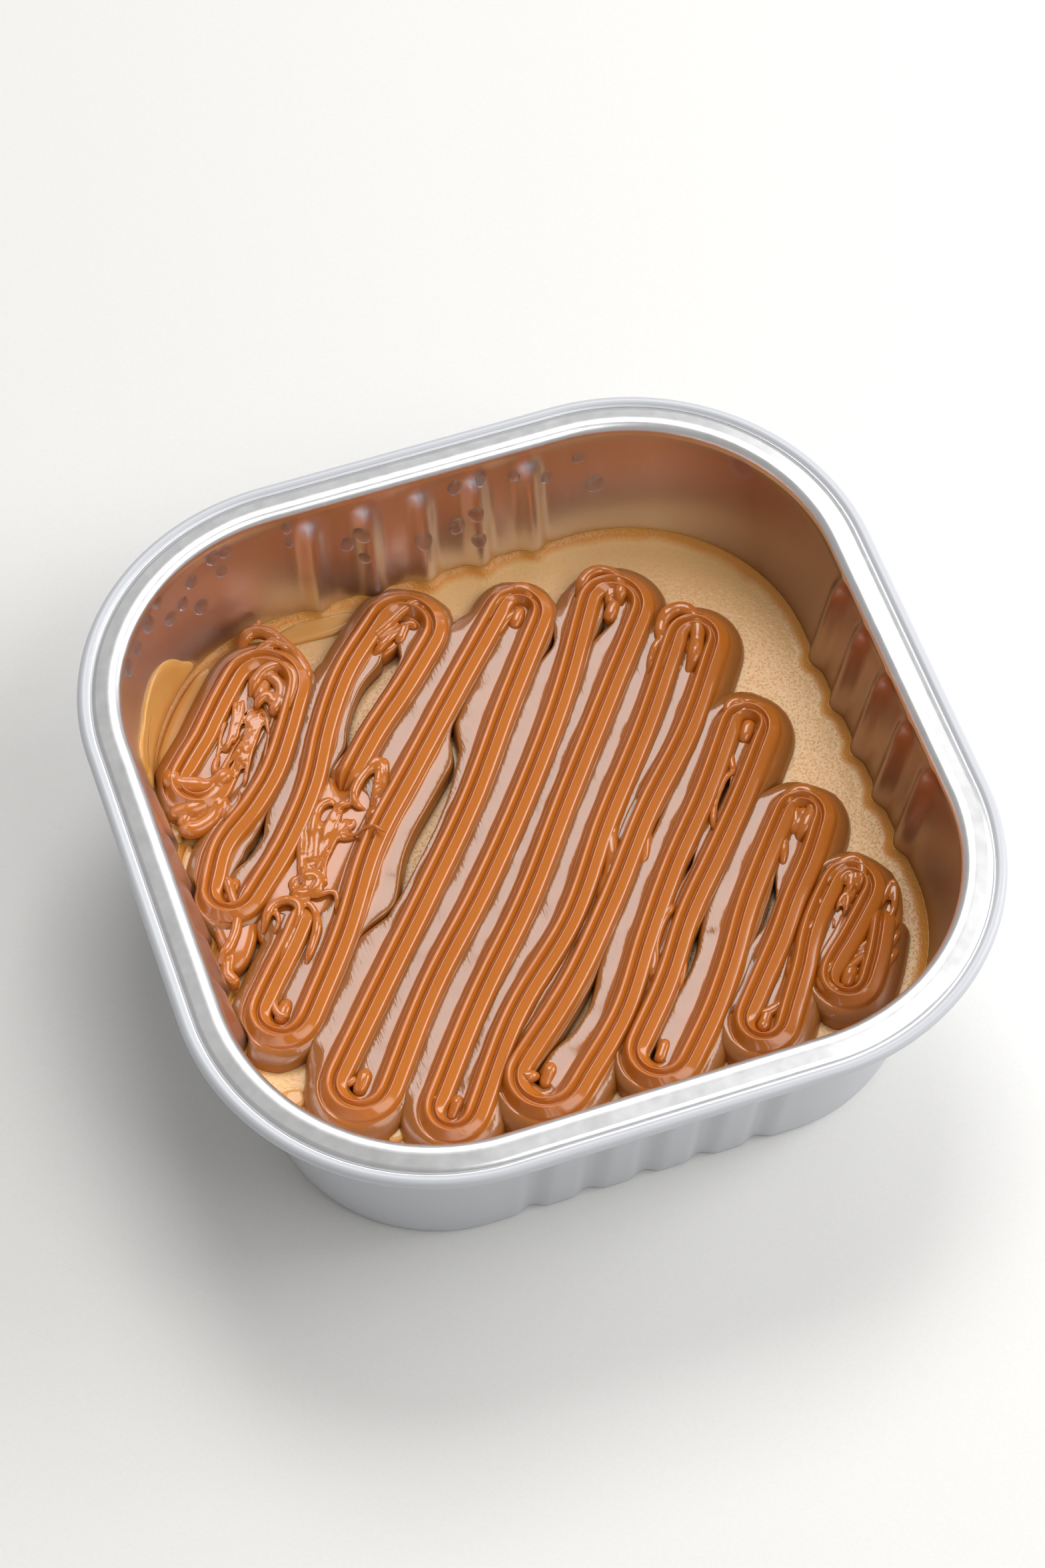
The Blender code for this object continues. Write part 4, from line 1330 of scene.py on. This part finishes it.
def closed_curve(points):
    """A smooth closed curve through the points, and its middle."""
    path = curve_through([*points, *points[:3]], POOL_STEPS)[POOL_STEPS:-POOL_STEPS]
    return path, sum(path, Vector((0.0, 0.0))) / len(path)


def pool(name, low, high, outline_points, material):
    """A low dome over a drawn outline, with a rounded edge down to the pudding."""
    path, middle = closed_curve(outline_points)
    profile = ((1.0, -0.3), (1.0, low - 0.9), (0.985, low - 0.35), (0.95, low),
               (0.8, high), (0.5, high), (0.2, high))
    rings = []
    for scale, height in profile:
        ring = []
        for point in path:
            x, y = to_dish(*(middle + (point - middle) * scale))
            x, y = held(x, y, PUDDING_Z + max(height, 0.0), INTO_FOIL)
            ring.append((x, y, PUDDING_Z + height))
        rings.append(ring)
    return loft(name, rings, material, {})


for number, (low, high, *points) in enumerate(POOLS, start=1):
    show_caramel(pool(f"caramel_pool_{number}", low, high, points, caramel))

# %% [markdown]
# ### Thin caramel at the wall
# Where a little caramel ran out or was dabbed against the wall, it lies as a thin film. It
# is lighter than the ropes, because the custard shows through it.

# %% The thin caramel's finish
THIN_COLOURS = ((0.62, 0.27, 0.05), (0.76, 0.42, 0.14))


def thin_pattern(tree):
    cloud = noise_at(tree, object_place(tree), 120.0, 3.0)
    return {"Base Color": mix_colour(tree, cloud, *THIN_COLOURS)}


thin_caramel = finish(
    "thin_caramel",
    {
        "Roughness": 0.2,
        "IOR": 1.46,
        "Subsurface Weight": 0.5,
        "Subsurface Radius": (1.0, 0.45, 0.15),
        "Subsurface Scale": 0.0015,
    },
    thin_pattern,
)

# %% Films and bits by the wall
FILMS = (
    (0.7, 1.0, (-57.6, 13.5), (-56.2, 15.6), (-54.9, 13.0), (-54.7, 6.0), (-55.6, 0.0),
     (-57.2, -4.5), (-58.4, -1.0), (-58.6, 7.0)),
    (0.35, 0.6, (-49.5, 22.6), (-46.4, 27.0), (-42.5, 29.6), (-38.6, 31.8), (-37.4, 30.4),
     (-39.6, 27.3), (-43.5, 24.6), (-47.0, 22.4)),
    (0.6, 0.9, (-54.4, -9.6), (-52.2, -12.8), (-50.6, -15.2), (-49.8, -14.4), (-51.2, -12.0),
     (-53.2, -8.8)),
    (0.7, 0.9, (-48.8, -14.6), (-47.0, -16.4), (-46.4, -20.0), (-47.6, -20.8), (-48.8, -17.8)),
    (0.5, 0.8, (-33.4, -36.0), (-31.6, -38.6), (-31.0, -43.6), (-31.8, -44.4), (-33.0, -40.6),
     (-34.4, -37.6)),
    (0.4, 0.7, (-22.6, -49.6), (-20.2, -48.2), (-18.8, -50.0), (-20.6, -51.8)),
    (0.4, 0.7, (-6.6, -51.0), (-5.2, -49.4), (-3.8, -51.2), (-5.4, -52.4)),
)
for number, (low, high, *points) in enumerate(FILMS, start=1):
    show_caramel(pool(f"caramel_film_{number}", low, high, points, thin_caramel))

# %% [markdown]
# ## Drops of water on the wall
# A cold dish sweats where its wall stands free of the food. The drops are lens shaped and
# gather in a few places. The small ones are one lens, put on points that a tree scatters
# over the inner wall, thickest where the mesh says it is wet. The large ones, two to three
# millimetres across, ran together, so each has a place of its own, and its points are laid
# on the wall one by one, so that it follows the flutes.

# %% Water, and the wall unrolled
water = finish(
    "water", {"Roughness": 0.03, "IOR": 1.33, "Transmission Weight": 1.0, "Alpha": 0.85}
)
WALL_ARC = 40.0
WALL_SIDE = 2 * CORE_HALF


def on_wall(along, height, inset=0.0):
    """A point of the inner wall: distance along it from the left wall's front end, height."""
    radius = wall_radius(height) - WALL - inset
    for side in range(3):
        turn = math.pi - side * math.pi / 2
        out = Vector((math.cos(turn), math.sin(turn)))
        run = Vector((out.y, -out.x))
        if along <= WALL_SIDE:
            distance = along - CORE_HALF
            depth = flute_depth(distance, height)
            spot = out * (CORE_HALF + radius - depth) + run * distance
            return (spot.x, spot.y, height)
        along -= WALL_SIDE
        if along <= WALL_ARC:
            angle = turn - along / WALL_ARC * math.pi / 2
            corner = (out + run) * CORE_HALF
            spot = corner + Vector((math.cos(angle), math.sin(angle))) * radius
            return (spot.x, spot.y, height)
        along -= WALL_ARC
    return None


print("unrolled wall, mm:", 3 * (WALL_SIDE + WALL_ARC))

# %% Where the wall is wet
# Each wet place is its middle along the wall and up it, half its width and height, the
# drops' radius and how thickly they lie. Each large drop is its place and radius.
WET_COLUMNS, WET_ROWS = 160, 24
WET_PLACES = (
    (56.0, 33.0, 6.0, 6.0, 0.5, 1.0),
    (66.0, 31.5, 8.0, 4.5, 0.65, 1.0),
    (73.0, 28.0, 5.0, 3.0, 0.5, 1.0),
    (83.0, 30.0, 2.0, 6.0, 0.45, 0.8),
    (92.0, 29.5, 1.2, 8.0, 0.4, 0.9),
    (98.5, 28.5, 2.5, 5.0, 0.8, 0.5),
    (133.0, 30.0, 1.5, 5.0, 0.45, 0.5),
    (141.0, 33.0, 6.0, 5.5, 0.5, 1.0),
    (152.5, 31.0, 4.5, 5.0, 0.75, 1.0),
)
LARGE_DROPS = (
    (59.0, 34.5, 1.3), (62.3, 33.8, 1.1), (65.8, 34.3, 1.3), (68.3, 36.0, 1.0), (69.6, 30.6, 1.2),
    (72.1, 31.0, 1.1), (74.2, 33.5, 1.1), (74.6, 27.6, 1.3), (78.7, 31.7, 1.0), (77.9, 35.2, 1.2),
    (79.7, 35.0, 1.0), (88.4, 35.2, 1.0), (88.5, 32.2, 0.9), (97.2, 28.6, 1.3), (99.3, 30.6, 1.4),
    (99.4, 25.8, 1.0), (108.8, 26.0, 1.6), (114.3, 26.0, 1.5), (117.3, 28.6, 1.4),
    (117.4, 23.0, 1.4), (114.5, 34.0, 1.3), (118.6, 35.0, 1.1), (123.8, 33.2, 1.0),
    (129.0, 31.0, 1.1), (133.8, 33.2, 1.0), (135.8, 27.2, 1.5),
)


def wet_share(along, height):
    """How wet the wall is at a place and how large its drops are."""
    share, size = 0.0, 0.5
    for middle, level, half_width, half_height, radius, amount in WET_PLACES:
        away = ((along - middle) / half_width) ** 2 + ((height - level) / half_height) ** 2
        wet = amount * min(1.0, 3.0 * (1.0 - away))
        if away < 1.0 and wet > share:
            share, size = wet, radius
    return share, size


def wall_seed():
    """The free part of the inner wall, facing inwards, with how wet it is."""
    spots = [(along, height) for height in np.linspace(20.0, 36.6, WET_ROWS)
             for along in np.linspace(50.0, 160.0, WET_COLUMNS)]
    faces = []
    for row in range(WET_ROWS - 1):
        for i in range(row * WET_COLUMNS, row * WET_COLUMNS + WET_COLUMNS - 1):
            faces.append((i, i + 1, i + WET_COLUMNS + 1, i + WET_COLUMNS))
    mesh = bpy.data.meshes.new("wet_wall")
    points = [Vector(on_wall(*spot)) * MM for spot in spots]
    mesh.from_pydata(points, [], faces)
    middle = Vector((0.0, 0.0, points[0].z))
    if mesh.polygons[0].normal.dot(middle - points[0]) < 0.0:
        mesh.flip_normals()
    wet = [wet_share(*spot) for spot in spots]
    keep(mesh, "wet", [share for share, size in wet])
    keep(mesh, "drop", [size * MM for share, size in wet])
    return mesh


# %% Scattering the drops
DROP_SIZES = {"Size": 1.15, "Spacing": 0.95 * MM, "Most to the square metre": 900000.0}
SCATTER_SEED = 4
SIZE_SEED = 9


def drop_tree():
    """Lens-shaped drops scattered over a wall by how wet it is."""
    tree, sizes = shape_tree("wall_drops", DROP_SIZES)
    points = add(
        tree,
        "GeometryNodeDistributePointsOnFaces",
        {"distribute_method": "POISSON"},
        {
            "Mesh": sizes["Seed shape"],
            "Distance Min": sizes["Spacing"],
            "Density Max": sizes["Most to the square metre"],
            "Density Factor": read(tree, "wet"),
            "Seed": SCATTER_SEED,
        },
    )
    few_faces = {"Segments": 9, "Rings": 5, "Radius": 1.0}
    ball = add(tree, "GeometryNodeMeshUVSphere", None, few_faces)
    lens = add(tree, "GeometryNodeTransform", None, {"Geometry": ball, "Scale": (1.0, 1.0, 0.4)})
    span = {"Min": 0.6, "Max": 1.15, "Seed": SIZE_SEED}
    size = add(tree, "FunctionNodeRandomValue", {"data_type": "FLOAT"}, span)
    drops = add(
        tree,
        "GeometryNodeInstanceOnPoints",
        None,
        {
            "Points": points,
            "Instance": lens,
            "Rotation": points.other("Rotation"),
            "Scale": size * read(tree, "drop") * sizes["Size"],
        },
    )
    close_tree(tree, drops, water)
    return tree


drops = grow("wall_drops", wall_seed(), drop_tree(), DROP_SIZES, water)
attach(drops, "root")

# %% The large drops
DROP_DOME = 0.42
DROP_SUNK = 0.08
DROP_WIDTH, DROP_HEIGHT = 0.87, 1.1


def large_drops():
    """The drops that ran together, each a dome that lies on the wall and follows its flutes."""
    bm = bmesh.new()
    for along, height, radius in LARGE_DROPS:
        made = bmesh.ops.create_uvsphere(bm, u_segments=16, v_segments=8, radius=radius)
        for vert in made["verts"]:
            right, up, out = vert.co
            out *= DROP_DOME if out > 0.0 else DROP_SUNK
            spot = on_wall(along + DROP_WIDTH * right, height + DROP_HEIGHT * up, out)
            vert.co = Vector(spot) * MM
    bmesh.ops.recalc_face_normals(bm, faces=bm.faces)
    mesh = bpy.data.meshes.new("large_drops")
    bm.to_mesh(mesh)
    bm.free()
    mesh.shade_smooth()
    return place("large_drops", mesh, water)


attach(large_drops(), "root")

# %% [markdown]
# ### A dab on the wall
# Near the left end of the back wall a dab of thin caramel sticks to the metal. It is a
# thin sheet with a rounded edge that follows the wall, so its outline is drawn on the
# unrolled wall and then bent round with it. Its back lies just inside the foil.

# %% The dab
# Each ring is a share of the outline's size and how far it stands off the wall.
DAB_PROFILE = (
    (0.1, -0.15), (0.4, -0.15), (0.7, -0.15), (1.0, -0.15), (1.0, 0.1), (0.97, 0.35),
    (0.85, 0.5), (0.6, 0.44), (0.35, 0.46), (0.1, 0.5),
)
DAB = (
    (51.0, 17.6), (50.2, 21.0), (50.8, 24.6), (53.4, 25.0), (56.0, 24.4), (59.0, 25.2),
    (63.0, 25.9), (66.4, 24.8), (68.9, 21.6), (69.6, 17.6),
)


path, middle = closed_curve(DAB)
rings = []
for scale, inset in DAB_PROFILE:
    spots = [middle + (point - middle) * scale for point in path]
    rings.append([on_wall(along, height, inset) for along, height in spots])
show_caramel(loft("caramel_dab", rings, thin_caramel, {}))

# %% [markdown]
# ## Floor, light and camera
# The dish stands on a plain pale floor. A large soft panel hangs behind and above it, so
# that flat, wet faces mirror it as pale bands towards the camera. A second panel from the
# right gives the long soft shadow to the left. A small, weak one behind on the right
# brightens the rim there, and a fourth in front lights the floor at the lower right.

# %% The floor
FLOOR_COLOURS = ((0.78, 0.775, 0.76), (0.84, 0.835, 0.82))
FLOOR_HALF = 3
FLOOR_Z = -0.0001


def floor_pattern(tree):
    grain = noise_at(tree, object_place(tree), 2500.0, 2.0)
    return {"Base Color": mix_colour(tree, grain, *FLOOR_COLOURS)}


floor_finish = finish("floor", {"Roughness": 0.75}, floor_pattern)
floor_mesh = bpy.data.meshes.new("floor")
corners = [(x * FLOOR_HALF, y * FLOOR_HALF, FLOOR_Z) for x, y in ((-1, -1), (1, -1), (1, 1), (-1, 1))]
floor_mesh.from_pydata(corners, [], [(0, 1, 2, 3)])
floor = place("floor", floor_mesh, floor_finish)

# %% The lights
PANELS = (
    ("back_panel", (245, 700, 1190), (0, 0, 0), 0.62, 0.62, 8.2),
    ("right_panel", (800, -60, 480), (0, 0, 0), 0.5, 0.4, 4.0),
    ("side_panel", (490, 520, 610), (45, 0, 38), 0.3, 0.3, 0.45),
    ("front_panel", (300, -330, 600), (190, -210, 0), 0.4, 0.4, 1.7),
)


def panel(name, place_mm, target_mm, width, height, power):
    """A soft rectangular lamp at a place, turned to a target; its sides are in metres."""
    light = bpy.data.lights.new(name, "AREA")
    light.shape = "RECTANGLE"
    light.size = width
    light.size_y = height
    light.energy = power
    obj = bpy.data.objects.new(name, light)
    bpy.context.scene.collection.objects.link(obj)
    obj.location = Vector(place_mm) * MM
    aim = Vector(target_mm) - Vector(place_mm)
    obj.rotation_euler = aim.to_track_quat("-Z", "Y").to_euler()


for facts in PANELS:
    panel(*facts)
world = bpy.data.worlds.new("studio")
world.use_nodes = True
sky = world.node_tree.nodes["Background"].inputs
sky["Color"].default_value = (1.0, 0.985, 0.96, 1.0)
sky["Strength"].default_value = 0.36
scene = bpy.context.scene
scene.world = world
print("panels, W:", [facts[-1] for facts in PANELS])

# %% The camera, as solved from the dish's corners
camera_data = bpy.data.cameras.new("camera")
camera_data.sensor_fit = "VERTICAL"
camera_data.sensor_height = 36.0
camera_data.lens = 96.8
camera_data.clip_start = 0.01
camera = bpy.data.objects.new("camera", camera_data)
scene.collection.objects.link(camera)
camera.location = Vector((-105.57, -300.82, 546.95)) * MM
look = Vector((5.05, 20.77, 0.0)) * MM - camera.location
camera.rotation_euler = look.to_track_quat("-Z", "Y").to_euler()
scene.camera = camera
scene.view_settings.view_transform = "Standard"
